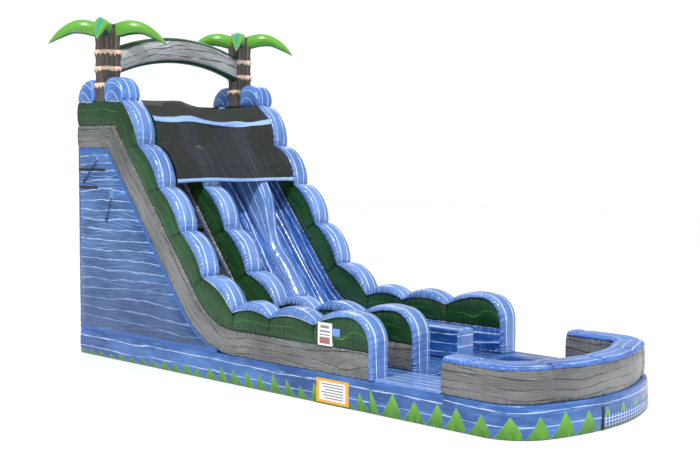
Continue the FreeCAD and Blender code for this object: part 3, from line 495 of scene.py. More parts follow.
FRINGE = plain("fringe_vinyl", (0.74, 0.55, 0.40), 0.6, wave=30, vary=0.25)
LIME = plain("frond_lime_vinyl", (0.105, 0.35, 0.024), 0.28, coat=0.35, wave=3, vary=0.22)
TEAL = plain("frond_teal_vinyl", (0.02, 0.27, 0.16), 0.28, coat=0.35, wave=5, vary=0.3)
DEEP_TEAL = plain("frond_underside_vinyl", (0.006, 0.07, 0.055), 0.35, coat=0.2, wave=5)
STRAP_BLUE = plain("blue_webbing", (0.014, 0.040, 0.13), 0.7, bump=0.0015, wave=160)
STRAP_BLACK = plain("black_webbing", (0.012, 0.012, 0.012), 0.75, bump=0.001, wave=160)
TRIM = vinyl("light_blue_vinyl", (0.20, 0.34, 0.66), (0.28, 0.43, 0.74), (0.40, 0.54, 0.82), FOAM,
             gap=0.1,
             width=0.006, wobble=0.05, share=0.4, wisps=0.5, bump=0.003, gloss=0.35, coat=0.1)
PATCH = plain("patch_vinyl", (0.085, 0.20, 0.50), 0.35, coat=0.15, wave=12, vary=0.3)
STEEL = plain("steel", (0.6, 0.6, 0.62), 0.28, metal=1.0, wave=60)
WHITE = plain("label_white", (0.78, 0.78, 0.76), 0.45, wave=8, vary=0.04)
LABEL_GREY = plain("label_grey", (0.20, 0.20, 0.21), 0.5)
LABEL_RED = plain("label_red", (0.33, 0.12, 0.12), 0.5)
LABEL_BLUE = plain("label_blue", (0.13, 0.27, 0.62), 0.45)
LABEL_YELLOW = plain("label_yellow", (0.66, 0.36, 0.04), 0.45, wave=8, vary=0.05)


def base_vinyl(name, pitch, low, tall, lean, powers, fade=None):
    """Blue streaked vinyl with a row of printed grass blades along its foot.

    The blades are pitch apart, and low to low + tall high. Their tips are at share lean of the width.
    """
    material = vinyl(name, (0.012, 0.055, 0.20), (0.050, 0.145, 0.41), (0.13, 0.30, 0.64), FOAM,
                     gap=0.23,
                     width=0.009, wobble=0.12, share=0.85, wisps=0.9, bump=0.006)
    t = Nodes(name, material)
    u, v = t.uv()
    sway = t.math("MULTIPLY", t.noise(u, v, 1.3, 0.0, 1.0, 3.0), 0.35)
    cell = t.math("ADD", t.math("DIVIDE", u, pitch), sway)
    across = t.math("FRACT", cell)
    chance = t.new("ShaderNodeTexWhiteNoise", noise_dimensions="1D")
    t.put(chance.inputs["W"], t.math("FLOOR", cell))
    height = t.math("MULTIPLY_ADD", chance.outputs[0], tall, low)
    if fade:
        height = t.math(
            "MULTIPLY", height, t.math("MULTIPLY_ADD", t.span(u, fade[0], fade[1]), -0.55, 1.0)
        )
    rise = t.math("DIVIDE", across, lean)
    fall = t.math("DIVIDE", t.math("SUBTRACT", 1.0, across), 1 - lean)
    shape = t.math("MINIMUM", t.math("POWER", t.math("MAXIMUM", rise, 0.0), powers[0]),
                   t.math("POWER", t.math("MAXIMUM", fall, 0.0), powers[1]))
    top = t.math("MULTIPLY", height, shape)
    blades = t.span(t.math("SUBTRACT", top, v), -0.004, 0.004)
    outline = t.span(t.math("SUBTRACT", top, v), -0.018, -0.010)
    shade = t.span(v, 0.0, 0.34)
    grass = t.mix(shade, (0.040, 0.150, 0.008), (0.125, 0.37, 0.018))
    grass = t.mix(t.span(t.noise(u, v, 9.0, 3.0, 2.0, 6.0), 0.4, 0.7), grass, (0.085, 0.27, 0.012))
    below = t.shader.inputs["Base Color"].links[0].from_socket
    edged = t.mix(t.math("MULTIPLY", outline, 0.55), below, (0.14, 0.30, 0.50))
    t.put(t.shader.inputs["Base Color"], t.mix(blades, edged, grass))
    return material


MAIN_BASE = base_vinyl("grass_base_vinyl", 0.33, 0.22, 0.12, 0.80, (1.35, 0.9), fade=(2.6, 6.4))
POOL_BASE = base_vinyl("grass_pool_vinyl", 0.44, 0.31, 0.09, 0.40, (0.62, 1.5))


def plaid_vinyl():
    """Blue tape with a white grid, for the drain band of the pool."""
    t = Nodes("plaid_tape")
    u, v = t.uv()
    grid = None
    for value, pitch, width in ((u, 0.085, 0.016), (v, 0.052, 0.010)):
        off = t.math(
            "ABSOLUTE", t.math("SUBTRACT", t.math("FRACT", t.math("DIVIDE", value, pitch)), 0.5)
        )
        line = t.span(t.math("MULTIPLY", off, pitch), width / 2 + 0.003, width / 2 - 0.003)
        grid = line if grid is None else t.math("MAXIMUM", grid, line)
    t.put(t.shader.inputs["Base Color"], t.mix(grid, (0.02, 0.09, 0.34), (0.62, 0.70, 0.86)))
    t.shader.inputs["Roughness"].default_value = 0.4
    return t.material


def mesh_cloth():
    """Black see-through mesh."""
    t = Nodes("shade_mesh_cloth")
    t.shader.inputs["Base Color"].default_value = (0.014, 0.017, 0.014, 1)
    t.shader.inputs["Roughness"].default_value = 0.8
    down, _ = t.uv()
    t.put(t.shader.inputs["Alpha"], t.math("MULTIPLY_ADD", t.span(down, 0.46, 0.52), -0.13, 0.95))
    return t.material


MESH = mesh_cloth()


def basin_vinyl():
    """The pool's floor: deep blue with pale ripples."""
    t = Nodes("pool_liner_vinyl")
    t.shader.inputs["Roughness"].default_value = 0.12
    t.shader.inputs["Coat Weight"].default_value = 0.5
    coordinates = t.new("ShaderNodeTexCoord").outputs["Object"]
    ripples = t.new("ShaderNodeTexNoise")
    ripples.inputs["Scale"].default_value = 5.0
    ripples.inputs["Detail"].default_value = 4.0
    ripples.inputs["Distortion"].default_value = 1.2
    t.put(ripples.inputs["Vector"], coordinates)
    light = t.span(ripples.outputs[0], 0.50, 0.66)
    t.put(t.shader.inputs["Base Color"], t.mix(light, (0.008, 0.06, 0.30), (0.10, 0.30, 0.72)))
    bump = t.new("ShaderNodeBump")
    bump.inputs["Distance"].default_value = 0.03
    t.put(bump.inputs["Height"], ripples.outputs[0])
    t.put(t.shader.inputs["Normal"], bump.outputs[0])
    return t.material


# --- walls ----------------------------------------------------------------------------------------

PER_SCALLOP = 56


def wall_stations(first_d):
    """Stations along a wall, back to front: (way along the deck, seam point, crown point)."""
    stations = []
    if first_d < TOWER_TOP - 0.2:
        for t in np.linspace(0, 1, 40, endpoint=False):
            q = t * KNEE
            top = (t * TOWER_TOP, WALL_TOP)
            stations.append((q, top, None))
    else:
        stations.append((KNEE * 0.995, (first_d, WALL_TOP), None))
    for k in range(7):
        for t in np.linspace(0, 1, PER_SCALLOP, endpoint=False):
            seam = arc(pinch(k), pinch(k + 1), SEAM_SWELL, t)
            crown = arc(pinch(k, CAP_EDGE), pinch(k + 1, CAP_EDGE), CROWN_SWELL, t)
            stations.append((PINCH_Q[k] + (PINCH_Q[k + 1] - PINCH_Q[k]) * t, seam, crown))
    last, last_crown = pinch(7), pinch(7, CAP_EDGE)
    crest = (WALL_END - END_ROUND, last[1] + END_RISE)
    crown_crest = (CAP_END - END_ROUND, last_crown[1] + END_RISE)
    for t in np.linspace(0, 1, 34, endpoint=False):
        seam = arc(last, crest, SEAM_SWELL * 0.55, t)
        stations.append(
            (deck_length(seam[0]), seam, arc(last_crown, crown_crest, CROWN_SWELL * 0.55, t))
        )
    for turn in np.linspace(0, math.pi / 2, 30):
        seam = (crest[0] + END_ROUND * math.sin(turn), crest[1] - END_FALL * (1 - math.cos(turn)))
        crown = (
            crown_crest[0] + END_ROUND * math.sin(turn),
            crown_crest[1] - END_FALL * (1 - math.cos(turn)),
        )
        stations.append((deck_length(seam[0]), seam, crown))
    return stations


def near_pinch(stations, reach):
    """How near each station is to a pinch, 1 at the pinch itself."""
    spots = np.array([pinch(k) for k in range(1, 8)])
    seam = np.array([s for _, s, _ in stations])
    off = np.linalg.norm(seam[:, None] - spots[None], axis=2).min(1)
    return np.exp(-((off / reach) ** 2))


def band(
    name, low, high, stations, bottom, top, recess, material, seed, crease=0.0, inner=None
):
    """A flat-sided wall chamber from one seam to the next, bulged outwards on both sides.

    inner is a second material, and the way (-1 or 1 across) that the faces with it look.
    """
    count = 13
    closeness = near_pinch(stations, 0.035)
    lengths = np.cumsum([0] + [math.dist(a, b) for a, b in zip(top, top[1:])])
    folds_top = gathers(lengths, seed)
    folds_bottom = gathers(lengths, seed + 5)
    rings = []
    for k in range(len(stations)):
        a, b = bottom[k], top[k]
        span = math.dist(a, b)
        ring = []
        for edge, sign, order in ((low, 1, 1), (high, -1, -1)):
            profile = side_profile(recess, count)[::order]
            for share, depth in profile:
                from_top, from_bottom = (1 - share) * span, share * span
                depth = depth - 0.020 * folds_top[k] * math.exp(-from_top / 0.085)
                depth = depth - 0.020 * folds_bottom[k] * math.exp(-from_bottom / 0.085)
                depth = depth + crease * closeness[k] * max(0, share - 0.25) ** 0.6
                point = mix(a, b, share)
                ring.append(place(edge + sign * depth, *point))
        rings.append(ring)
    rings = round_ends(rings, 0.03)
    mean_span = float(np.mean([math.dist(a, b) for a, b in zip(bottom, top)]))
    seam = [
        math.exp(-min(share, 1 - share) * mean_span / 0.075) for share,
        _ in side_profile(recess, count)
    ]
    obj = loft(name, rings, seam=seam + seam[::-1])
    if inner:
        material = [material, inner[0]]
        for face in obj.data.polygons:
            if abs(face.normal.x) > 0.5 and (face.center.x - (low + high) / 2) * inner[1] > 0:
                face.material_index = 1
    return finish_piece(obj, material, stands_for=[name])


def cap(name, low, high, stations, seed):
    """The scalloped top of a wall: a pillow between each two pinches, and a round front end."""
    shown = [s for s in stations if s[2] is not None]
    foot_seam, foot_crown = (WALL_END, DECK), (CAP_END, DECK)
    end_seam, end_crown = shown[-1][1], shown[-1][2]
    shown += [
        (
            0, mix(end_seam, foot_seam, t), mix(end_crown, foot_crown, t)
        ) for t in np.linspace(0.05, 1, 28)
    ]
    closeness = near_pinch(shown, 0.06)
    wide = near_pinch(shown, 0.16)
    centre, half = (low + high) / 2, (high - low) / 2
    lengths = np.cumsum([0] + [math.dist(a[1], b[1]) for a, b in zip(shown, shown[1:])])
    folds = gathers(lengths, seed)
    turns = np.linspace(0, math.pi, 30)
    rings = []
    for k, (_, seam, crown) in enumerate(shown):
        seam, crown = np.array(seam), np.array(crown)
        ring = []
        width = half * (1 - 0.045 * closeness[k] - 0.02 * wide[k])
        for turn in turns:
            side_share = math.copysign(abs(math.cos(turn)) ** 0.62, math.cos(turn))
            up = math.sin(turn) ** 0.62 if turn < math.pi else 0.0
            dip = 0.026 * closeness[k] * up
            fold = 0.015 * folds[k] * math.exp(-(1 - abs(side_share)) / 0.16) * (0.3 + up)
            cross = 0.016 * gathers(
                np.array([side_share * half + 10]), seed + k // PER_SCALLOP
            )[0] * wide[k] * up
            across = centre - side_share * (width + fold)
            point = seam + (crown - seam) * up
            down = (crown - seam) / max(1e-6, np.linalg.norm(crown - seam))
            point = point - down * (dip - fold * 0.5 - cross)
            ring.append(place(across, *point))
        for share in (-0.6, 0, 0.6):
            ring.append(place(centre - share * -width, *(seam + (crown - seam) * -0.12)))
        rings.append(ring)
    seam = [math.exp(-math.sin(turn) / 0.55) for turn in turns] + [0, 0, 0]
    obj = loft(name, round_ends(rings, 0.025), seam=seam)
    return finish_piece(obj, BLUE_CAP, stands_for=[name])


def make_walls():
    spans = {"left": (-HALF, -INNER), "right": (INNER, HALF), "middle": MIDDLE}
    for index, (side, (low, high)) in enumerate(spans.items()):
        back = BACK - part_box(f"{side}_wall_green_band")[1].y
        stations = wall_stations(back)
        deck_start = max(back, 0)
        grey_low = [deck(max(q, 0)) for q, _, _ in stations]
        grey_high = [deck(q, GREY_RISE) for q, _, _ in stations]
        if deck_start > 0.5:
            grey_low[0] = (deck_start, deck(KNEE + 0.01)[1] - (deck_start - KNEE) * math.tan(SLOPE))
            grey_high[0] = (deck_start, grey_high[1][1] - 0.1)
        clip = [(min(max(p[0], deck_start), WALL_END), p[1]) for p in grey_low]
        clip_high = [(min(max(p[0], deck_start), WALL_END), p[1]) for p in grey_high]
        seams = [s for _, s, _ in stations]
        seed = 100 * (index + 1)
        inner = {"right": (BLUE_LANE, -1), "middle": (BLUE_LANE, 1)}.get(side)
        band(f"{side}_wall_grey_band", low, high, stations, clip, clip_high, 0.035, GREY,
             seed, inner=inner)
        band(f"{side}_wall_green_band", low, high, stations, clip_high, seams, 0.050, GREEN,
             seed + 20, crease=0.06)
        cap(f"{side}_wall_cap", low, high, stations, seed + 40)
        numbers = range(1, 8)
        green = [
            (
                place(0, *pinch(k))[1:], place(0, *deck(PINCH_Q[k], GREY_RISE + 0.08))[1:]
            ) for k in numbers
        ]
        # painted shade in the pinch creases of the green band and the cap
        mark_crease_shade(bpy.data.objects[f"{side}_wall_green_band{SUFFIX}"], green, 0.018, [1, 2])
        over = [
            (
                place(0, *pinch(k, -0.02))[1:], place(0, *pinch(k, CAP_EDGE + 0.03))[1:]
            ) for k in numbers
        ]
        mark_crease_shade(bpy.data.objects[f"{side}_wall_cap{SUFFIX}"], over, 0.020, [1, 2])


# --- tower ----------------------------------------------------------------------------------------


def panel_depth(d, z, edge_distance, seed):
    """How far inside its widest plane a big side panel lies."""
    depth = 0.032 * math.exp(-((edge_distance / 0.13) ** 2))
    return depth + 0.004 * (1 - math.exp(-edge_distance / 0.3)) * math.sin(3.1 * d + 2.2 * z + seed)


def slope_edge(z):
    """d of the deck line at height z."""
    if z >= foot(0, SLOPE)[1]:
        return KNEE + (PLATFORM - z) / math.tan(SLOPE)
    return FOOT_D - math.sqrt(max(0, FOOT_RADIUS**2 - (DECK + FOOT_RADIUS - z) ** 2))


def side_point(d, z):
    """Depth of the side panel's skin at a place on it."""
    edge = min(d, (slope_edge(z) - d) * math.sin(SLOPE), PLATFORM - z, (z - DECK) * 1.0)
    return max(0.0, panel_depth(d, z, max(0, edge), 1.0))


def make_side_panel(side, sign):
    name = f"{side}_side_panel"
    low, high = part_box(name)
    floor, top = low.z, high.z
    rows, columns = 150, 110
    points, uvs, faces = [], [], []
    for i in range(rows + 1):
        z = floor + (top - floor) * i / rows
        reach = min(slope_edge(max(z, DECK + 0.055)), BACK - low.y)
        for j in range(columns + 1):
            d = reach * j / columns
            depth = side_point(d, z)
            edge = min(d, PLATFORM - z, (slope_edge(z) - d) * 0.78)
            if edge < 0.2:
                depth += 0.006 * -gathers(np.array([z + d]), 7)[0] * math.exp(-max(edge, 0) / 0.06)
            points.append(place(sign * (HALF - depth), d, z))
            uvs.append((d, z))
    for i in range(rows):
        for j in range(columns):
            a = i * (columns + 1) + j
            faces.append((a, a + 1, a + columns + 2, a + columns + 1))
    outer = len(points)
    points += [(sign * (HALF - 0.045), p[1], p[2]) for p in points[:outer]]
    uvs += uvs[:outer]
    faces += [tuple(outer + i for i in reversed(f)) for f in faces]
    rim = [j for j in range(columns + 1)]
    rim += [i * (columns + 1) + columns for i in range(1, rows + 1)]
    rim += [rows * (columns + 1) + j for j in range(columns - 1, -1, -1)]
    rim += [i * (columns + 1) for i in range(rows - 1, 0, -1)]
    for a, b in zip(rim, rim[1:] + rim[:1]):
        faces.append((b, a, a + outer, b + outer))
    obj = raw_mesh(name, points, faces, [[uvs[i] for i in f] for f in faces])
    face_outwards(obj)
    return finish_piece(obj, BLUE_PANEL, stands_for=[name])


def make_rear_panel():
    low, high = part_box("rear_panel")
    rows = []
    for z in np.linspace(low.z, high.z, 110):
        row = []
        for x in np.linspace(low.x, high.x, 130):
            edge = min(x - low.x, high.x - x, z - low.z, high.z - z)
            depth = 0.016 * math.exp(-((edge / 0.12) ** 2))
            depth += 0.004 * -gathers(np.array([x * 1.3 + z]), 9)[0] * math.exp(-edge / 0.06)
            row.append((x, high.y - depth, z))
        row += [(high.x, low.y, z), (low.x, low.y, z)]
        rows.append(row)
    obj = loft("rear_panel", rows, swap=True)
    finish_piece(obj, BLUE_PANEL, stands_for=["rear_panel"])


# --- base -----------------------------------------------------------------------------------------


def arc_through(a, b, c, count):
    """Points on the circle arc from a through b to c, in a plane."""
    (ax, ay), (bx, by), (cx, cy) = a, b, c
    twice = 2 * (ax * (by - cy) + bx * (cy - ay) + cx * (ay - by))
    aa, bb, cc = ax**2 + ay**2, bx**2 + by**2, cx**2 + cy**2
    centre = np.array([
        (aa * (by - cy) + bb * (cy - ay) + cc * (ay - by)) / twice,
        (aa * (cx - bx) + bb * (ax - cx) + cc * (bx - ax)) / twice,
    ])
    turns = [math.atan2(p[1] - centre[1], p[0] - centre[0]) for p in (a, b, c)]
    turns = np.unwrap(turns)
    if (turns[1] - turns[0]) * (turns[2] - turns[1]) < 0:
        turns[2] += math.copysign(2 * math.pi, turns[1] - turns[0])
    radius = math.dist(a, centre)
    return [tuple(centre + radius * np.array([math.cos(t), math.sin(t)]))
            for t in np.linspace(turns[0], turns[2], count)]


POOL_SIDE = 2.15


def pool_path(inset, near=None):
    """Plan of the pool's edge, as (x, d), from its left back corner round to the right."""
    side, far, front = HALF - inset, SEAM + POOL_SIDE, POOL_FRONT - inset
    start = SEAM if near is None else near
    shoulder = (side - 0.5, far + 0.72 * (front - far) - 0.2 * inset)
    corner = (side - 0.13, far + 0.42 * (front - far))
    left = [(-side, d) for d in np.linspace(start, far, 60, endpoint=False)]
    bend = arc_through((-side, far), (-corner[0], corner[1]), (-shoulder[0], shoulder[1]), 34)[:-1]
    bow = arc_through((-shoulder[0], shoulder[1]), (0, front), shoulder, 110)
    right_bend = [(-x, d) for x, d in reversed(bend)]
    right = [(-x, d) for x, d in reversed(left)]
    return left + bend + bow + right_bend + right


def resample(points, count):
    """The same line with count points, evenly apart."""
    points = np.array(points, float)
    way = np.concatenate([[0], np.cumsum(np.linalg.norm(np.diff(points, axis=0), axis=1))])
    where = np.linspace(0, way[-1], count)
    return np.stack([np.interp(where, way, points[:, k]) for k in range(points.shape[1])], 1)


def even(points, step):
    """The same line with points step apart."""
    points = np.array(points, float)
    way = np.concatenate([[0], np.cumsum(np.linalg.norm(np.diff(points, axis=0), axis=1))])
    at = np.linspace(0, way[-1], max(2, int(round(way[-1] / step)) + 1))
    return np.stack([np.interp(at, way, points[:, k]) for k in range(points.shape[1])], 1), at


def band_depth(z, way, top):
    """Depth of the base's upright face inside its widest line."""
    t = min(1, max(0, z / top))
    depth = 0.030 * (1 - (4 * t * (1 - t)) ** 0.4)
    fold = -gathers(np.array([way]), 31)[0]
    return depth + 0.006 * fold * (math.exp(-(top - z) / 0.05) + 0.5 * math.exp(-z / 0.05))


HEIGHTS = np.concatenate([[0.0, 0.008, 0.02], np.linspace(0.04, 0.46, 12), [0.48, 0.492, 0.5]])


def base_band(outline):
    """An upright printed band round a base."""
    points, way = even(outline, 0.03)
    ahead = np.gradient(points, axis=0)
    ahead /= np.linalg.norm(ahead, axis=1)[:, None]
    outward = np.stack([-ahead[:, 1], ahead[:, 0]], 1)
    if np.dot(outward[len(points) // 2], points[len(points) // 2] - points.mean(0)) < 0:
        outward = -outward
    vertices, uvs = [], []
    for z in HEIGHTS:
        for k, (x, d) in enumerate(points):
            inward = band_depth(z, way[k], DECK)
            px, pd = np.array([x, d]) - outward[k] * inward
            vertices.append(place(px, pd, z))
            uvs.append((way[k], z))
    count = len(points)
    faces = []
    for i in range(len(HEIGHTS) - 1):
        for j in range(count - 1):
            a = i * count + j
            faces.append((a, a + 1, a + count + 1, a + count))
    return vertices, uvs, faces, count


UV_APART = 40  # keeps the print of the hidden faces clear of the band's own


def make_main_base():
    corner = 0.05
    path = [(-HALF, SEAM), (-HALF, corner)]
    path += [
        (-HALF + corner * (1 - math.cos(t)), corner * (1 - math.sin(t))) for t in np.linspace(0,
        math.pi / 2, 6)
    ]
    path += [(-x, d) for x, d in reversed(path)]
    vertices, uvs, faces, count = base_band(path)
    sides = [[uvs[i] for i in f] for f in faces]
    top = [(len(HEIGHTS) - 1) * count + j for j in range(count)]
    bottom = list(range(count))
    faces.append(tuple(top))
    sides.append([(vertices[i][1], vertices[i][0] + UV_APART) for i in top])
    faces.append(tuple(reversed(bottom)))
    sides.append([(vertices[i][1], vertices[i][0] + UV_APART) for i in reversed(bottom)])
    front = [i * count for i in range(len(HEIGHTS))] + [
        i * count + count - 1 for i in range(len(HEIGHTS) - 1, -1, -1)
    ]
    faces.append(tuple(front))
    sides.append([(vertices[i][0], vertices[i][2] + UV_APART) for i in front])
    obj = raw_mesh("main_base", vertices, faces, sides)
    face_outwards(obj)
    finish_piece(obj, MAIN_BASE, stands_for=["main_base"])


def star(outline, centre, turns):
    """The points of a closed outline seen from centre, at these turns."""
    dense, _ = even(outline + outline[:1], 0.01)
    offset = dense - np.array(centre)
    angle = np.arctan2(offset[:, 1], offset[:, 0])
    radius = np.linalg.norm(offset, axis=1)
    order = np.argsort(angle)
    r = np.interp(turns, angle[order], radius[order], period=2 * math.pi)
    return np.stack([centre[0] + r * np.cos(turns), centre[1] + r * np.sin(turns)], 1)


def basin_outline():
    low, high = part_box("pool_liner")
    left, right, near = low.x, high.x, BACK - high.y
    inside = [p for p in pool_path(0.52) if left <= p[0] <= right and p[1] >= near]
    return [(left, near)] + [p for p in inside if p[0] > left + 0.005] + [(right, near)]


def make_pool_base():
    centre = (0.2, SEAM + 1.45)
    turns = np.linspace(-math.pi, math.pi, 560, endpoint=False)
    outer = star(pool_path(0.0), centre, turns)
    basin = star(basin_outline(), centre, turns)
    way = np.concatenate([[0], np.cumsum(np.linalg.norm(np.diff(outer, axis=0), axis=1))])
    rings, uv_rows = [], []

    def add(points, height, v):
        rings.append(
            [place(x, d, z) for (x, d), z in zip(points, np.broadcast_to(height, len(points)))]
        )
        uv_rows.append([(u, v) for u in way])

    for z in HEIGHTS:
        depth = np.array([band_depth(z, w, DECK) for w in way])
        inward = np.array(centre) - outer
        inward /= np.linalg.norm(inward, axis=1)[:, None]
        add(outer + inward * depth[:, None], z, z)
    for t in (0.15, 0.5, 0.85):
        add(outer + (basin - outer) * t, DECK, DECK + 0.3 * t)
    for z in (0.5, 0.488, 0.45, 0.3, 0.15, 0.03):
        add(basin + (outer - basin) * (0.012 if z == 0.5 else 0.0), z, 1.3 - z)
    add(basin, 0.0, 1.5)
    count, rows = len(turns), len(rings)
    vertices = [p for ring in rings for p in ring]
    faces, sides = [], []
    for i in range(rows):
        for j in range(count):
            k, n = (j + 1) % count, (i + 1) % rows
            faces.append((i * count + j, i * count + k, n * count + k, n * count + j))
            u0, u1 = way[j], way[k] if k else way[j] + 0.02
            v0, v1 = uv_rows[i][0][1], uv_rows[n][0][1] if n else 1.8
            sides.append([(u0, v0), (u1, v0), (u1, v1), (u0, v1)])
    obj = raw_mesh("pool_base", vertices, faces, sides)
    face_outwards(obj)
    finish_piece(obj, POOL_BASE, stands_for=["pool_base"])


def tube_along(path, section, swell=None):
    """Rings of section points, given as (outwards, up), carried along a plan path."""
    ahead = np.gradient(path, axis=0)
    ahead /= np.linalg.norm(ahead, axis=1)[:, None]
    outward = np.stack([-ahead[:, 1], ahead[:, 0]], 1)
    middle = len(path) // 2
    if outward[middle][1] < 0:
        outward = -outward
    rings = []
    for k, point in enumerate(path):
        ring = []
        for j, (out, up) in enumerate(section):
            extra_out, extra_up = swell(k, j) if swell else (0, 0)
            x, d = point + outward[k] * (out + extra_out)
            ring.append(place(x, d, up + extra_up))
        rings.append(ring)
    return rings


def make_pool_wall():
    low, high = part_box("pool_wall")
    near = BACK - high.y
    thick = 0.5
    path, way = even(pool_path(0.02 + thick / 2, near), 0.022)
    floor, top = low.z, high.z
    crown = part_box("pool_wall_top")[1].z
    upward = side_profile(0.035, 15)
    section = [(thick / 2 - depth, floor + (top - floor) * share) for share, depth in upward]
    section += [(-out, up) for out, up in reversed(section)]
    folds = gathers(way, 61), gathers(way, 66)

    def pucker(k, j):
        share = upward[j][0] if j < 15 else upward[29 - j][0]
        span = top - floor
        fold = 0.017 * (folds[0][k] * math.exp(-(1 - share) * span / 0.09)
                        + folds[1][k] * math.exp(-share * span / 0.07))
        return (fold if j < 15 else -fold), 0

    seam = [math.exp(-min(share, 1 - share) * (top - floor) / 0.09) for share, _ in upward]
    obj = loft(
        "pool_wall", round_ends(tube_along(path, section, pucker), 0.05), seam=seam + seam[::-1]
    )
    finish_piece(obj, GREY, stands_for=["pool_wall"])

    turns = np.linspace(0, math.pi, 22)
    section = []
    for turn in turns:
        out = math.copysign(abs(math.cos(turn)) ** 0.75, math.cos(turn)) * (thick / 2 - 0.012)
        section.append((out, top - 0.012 + (crown - top + 0.012) * math.sin(turn) ** 0.6))
    section += [(-0.12, top - 0.02), (0.12, top - 0.02)]
    seams = np.abs(((way + 0.45) % 0.98) - 0.49)
    dips = np.exp(-((0.49 - seams) / 0.03) ** 2)
    wide = np.exp(-((0.49 - seams) / 0.09) ** 2)
    rim = gathers(way, 71)

    def quilt(k, j):
        if j >= 22:
            return 0, 0
        up = math.sin(turns[j])
        edge = math.exp(-up / 0.35)
        return 0.006 * rim[k] * edge * math.cos(turns[j]), -(
            0.020 * dips[k] + 0.010 * wide[k]
        ) * up + 0.006 * rim[k] * edge

    obj = loft("pool_wall_top", round_ends(tube_along(path, section, quilt), 0.04),
               seam=[math.exp(-math.sin(turn) / 0.4) for turn in turns] + [0, 0])
    finish_piece(obj, POOL_TOP, stands_for=["pool_wall_top"])
    ahead = np.gradient(path, axis=0)
    ahead /= np.linalg.norm(ahead, axis=1)[:, None]
    across = np.stack([-ahead[:, 1], ahead[:, 0]], 1) * thick / 2
    sewn = [k for k in range(1, len(way)) if (way[k] + 0.45) % 0.98 < (way[k - 1] + 0.45) % 0.98]
    ends = [[place(*(path[k] + sign * across[k]), 0)[:2] for sign in (1, -1)] for k in sewn]
    # painted shade at the sewn seams of the pool's rim
    mark_crease_shade(obj, ends, 0.014, [0, 1])


def make_pool_bands():
    """The black hook strip and the plaid drain band on the front of the pool base."""
    path, _ = even(pool_path(-0.003), 0.02)
    bow = [k for k in range(len(path)) if path[k][1] > SEAM + POOL_SIDE]
    begin = min(bow, key=lambda k: abs(path[k][0] + 0.40))
    end = min(bow, key=lambda k: abs(path[k][0] - 1.75))
    for name, first, last, z0, z1, material, slot in (
        ("pool_hook_strip", begin - 1, begin + 2, 0.02, 0.36, STRAP_BLACK, "webbing_black"),
        ("pool_drain_band", begin + 2, end, 0.045, 0.215, plaid_vinyl(), "blue_vinyl"),
    ):
        thick = 0.004
        section = [(out, z) for z, out in ((z0, -thick), (z0, 0), (z1, 0), (z1, -thick))]
        finish_piece(loft(name, tube_along(path[first:last + 1], section)), material)


# --- lanes ----------------------------------------------------------------------------------------


def bed_line(rise, edge=0.02, foot_length=0.7):
    """(d, z) along the top of a bed on the slope, from the platform to its run-out on the deck."""
    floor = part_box("platform_floor")[1].z
    bed_edge = DECK + edge
    top_along = (PLATFORM + rise * math.cos(SLOPE) - floor) / math.sin(SLOPE)
    corner_along = (PLATFORM + rise * math.cos(SLOPE) - bed_edge) / math.sin(SLOPE)
    corner = on_slope(corner_along, rise)
    radius = foot_length / math.tan(SLOPE / 2)
    centre = (corner[0] + foot_length, bed_edge + radius)
    points = [(KNEE, floor), on_slope(top_along, rise), on_slope(corner_along - foot_length, rise)]
    for turn in np.linspace(SLOPE, 0, 24)[1:]:
        points.append((centre[0] - radius * math.sin(turn), centre[1] - radius * math.cos(turn)))
    return points


def make_bed(name, rise, material, seed, dish=0.05, ridges=3):
    """A bed of the slope, quilted lengthwise."""
    low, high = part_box(name)
    line, way = even(bed_line(rise), 0.035)
    ahead = np.gradient(line, axis=0)
    ahead /= np.linalg.norm(ahead, axis=1)[:, None]
    upward = np.stack([-ahead[:, 1], ahead[:, 0]], 1)
    xs = np.linspace(low.x, high.x, 46)
    rings = []
    for k, (d, z) in enumerate(line):
        fade = min(1, way[k] / 0.4) * min(1, (way[-1] - way[k]) / 0.4)
        ring = []
        for x in xs:
            share = (x - low.x) / (high.x - low.x)
            channel = abs(math.sin(math.pi * share * ridges)) ** 0.5
            sunk = dish * (1 - channel) * fade
            sunk += 0.010 * -gathers(
                np.array([way[k] + 3 * round(share * ridges)]), seed
            )[0] * (1 - channel) * fade
            point = np.array([d, z]) - upward[k] * sunk
            ring.append(place(x, *point))
        under = np.array([d, z]) - upward[k] * 0.012 if z < DECK + 0.05 else np.array([d,
        z]) - upward[k] * min(rise, 0.2)
        ring += [place(high.x, *under), place(low.x, *under)]
        rings.append(ring)
    return finish_piece(loft(name, rings), material, stands_for=[name])


def shell(node):
    """A copy of a CAD node's outer skin, without the inner faces of its air chambers."""
    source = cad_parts[node]
    work = bmesh.new()
    work.from_mesh(source.data)
    bmesh.ops.remove_doubles(work, verts=work.verts, dist=1e-5)
    left = set(work.verts)
    islands = []
    while left:
        stack, island = [left.pop()], []
        while stack:
            vert = stack.pop()
            island.append(vert)
            for edge in vert.link_edges:
                other = edge.other_vert(vert)
                if other in left:
                    left.discard(other)
                    stack.append(other)
        islands.append(island)
    boxes = [
        (np.min([v.co for v in i], axis=0), np.max([v.co for v in i], axis=0)) for i in islands
    ]
    for k, (low, high) in enumerate(boxes):
        if any(j != k and (low > l).all() and (high < h).all() for j, (l, h) in enumerate(boxes)):
            bmesh.ops.delete(work, geom=islands[k], context="VERTS")
    mesh = bpy.data.meshes.new(node + SUFFIX)
    work.to_mesh(mesh)
    work.free()
    obj = bpy.data.objects.new(node + SUFFIX, mesh)
    bpy.context.scene.collection.objects.link(obj)
    return obj


def bake_modifiers(obj):
    depsgraph = bpy.context.evaluated_depsgraph_get()
    made = bpy.data.meshes.new_from_object(obj.evaluated_get(depsgraph))
    obj.modifiers.clear()
    obj.data = made
    return obj


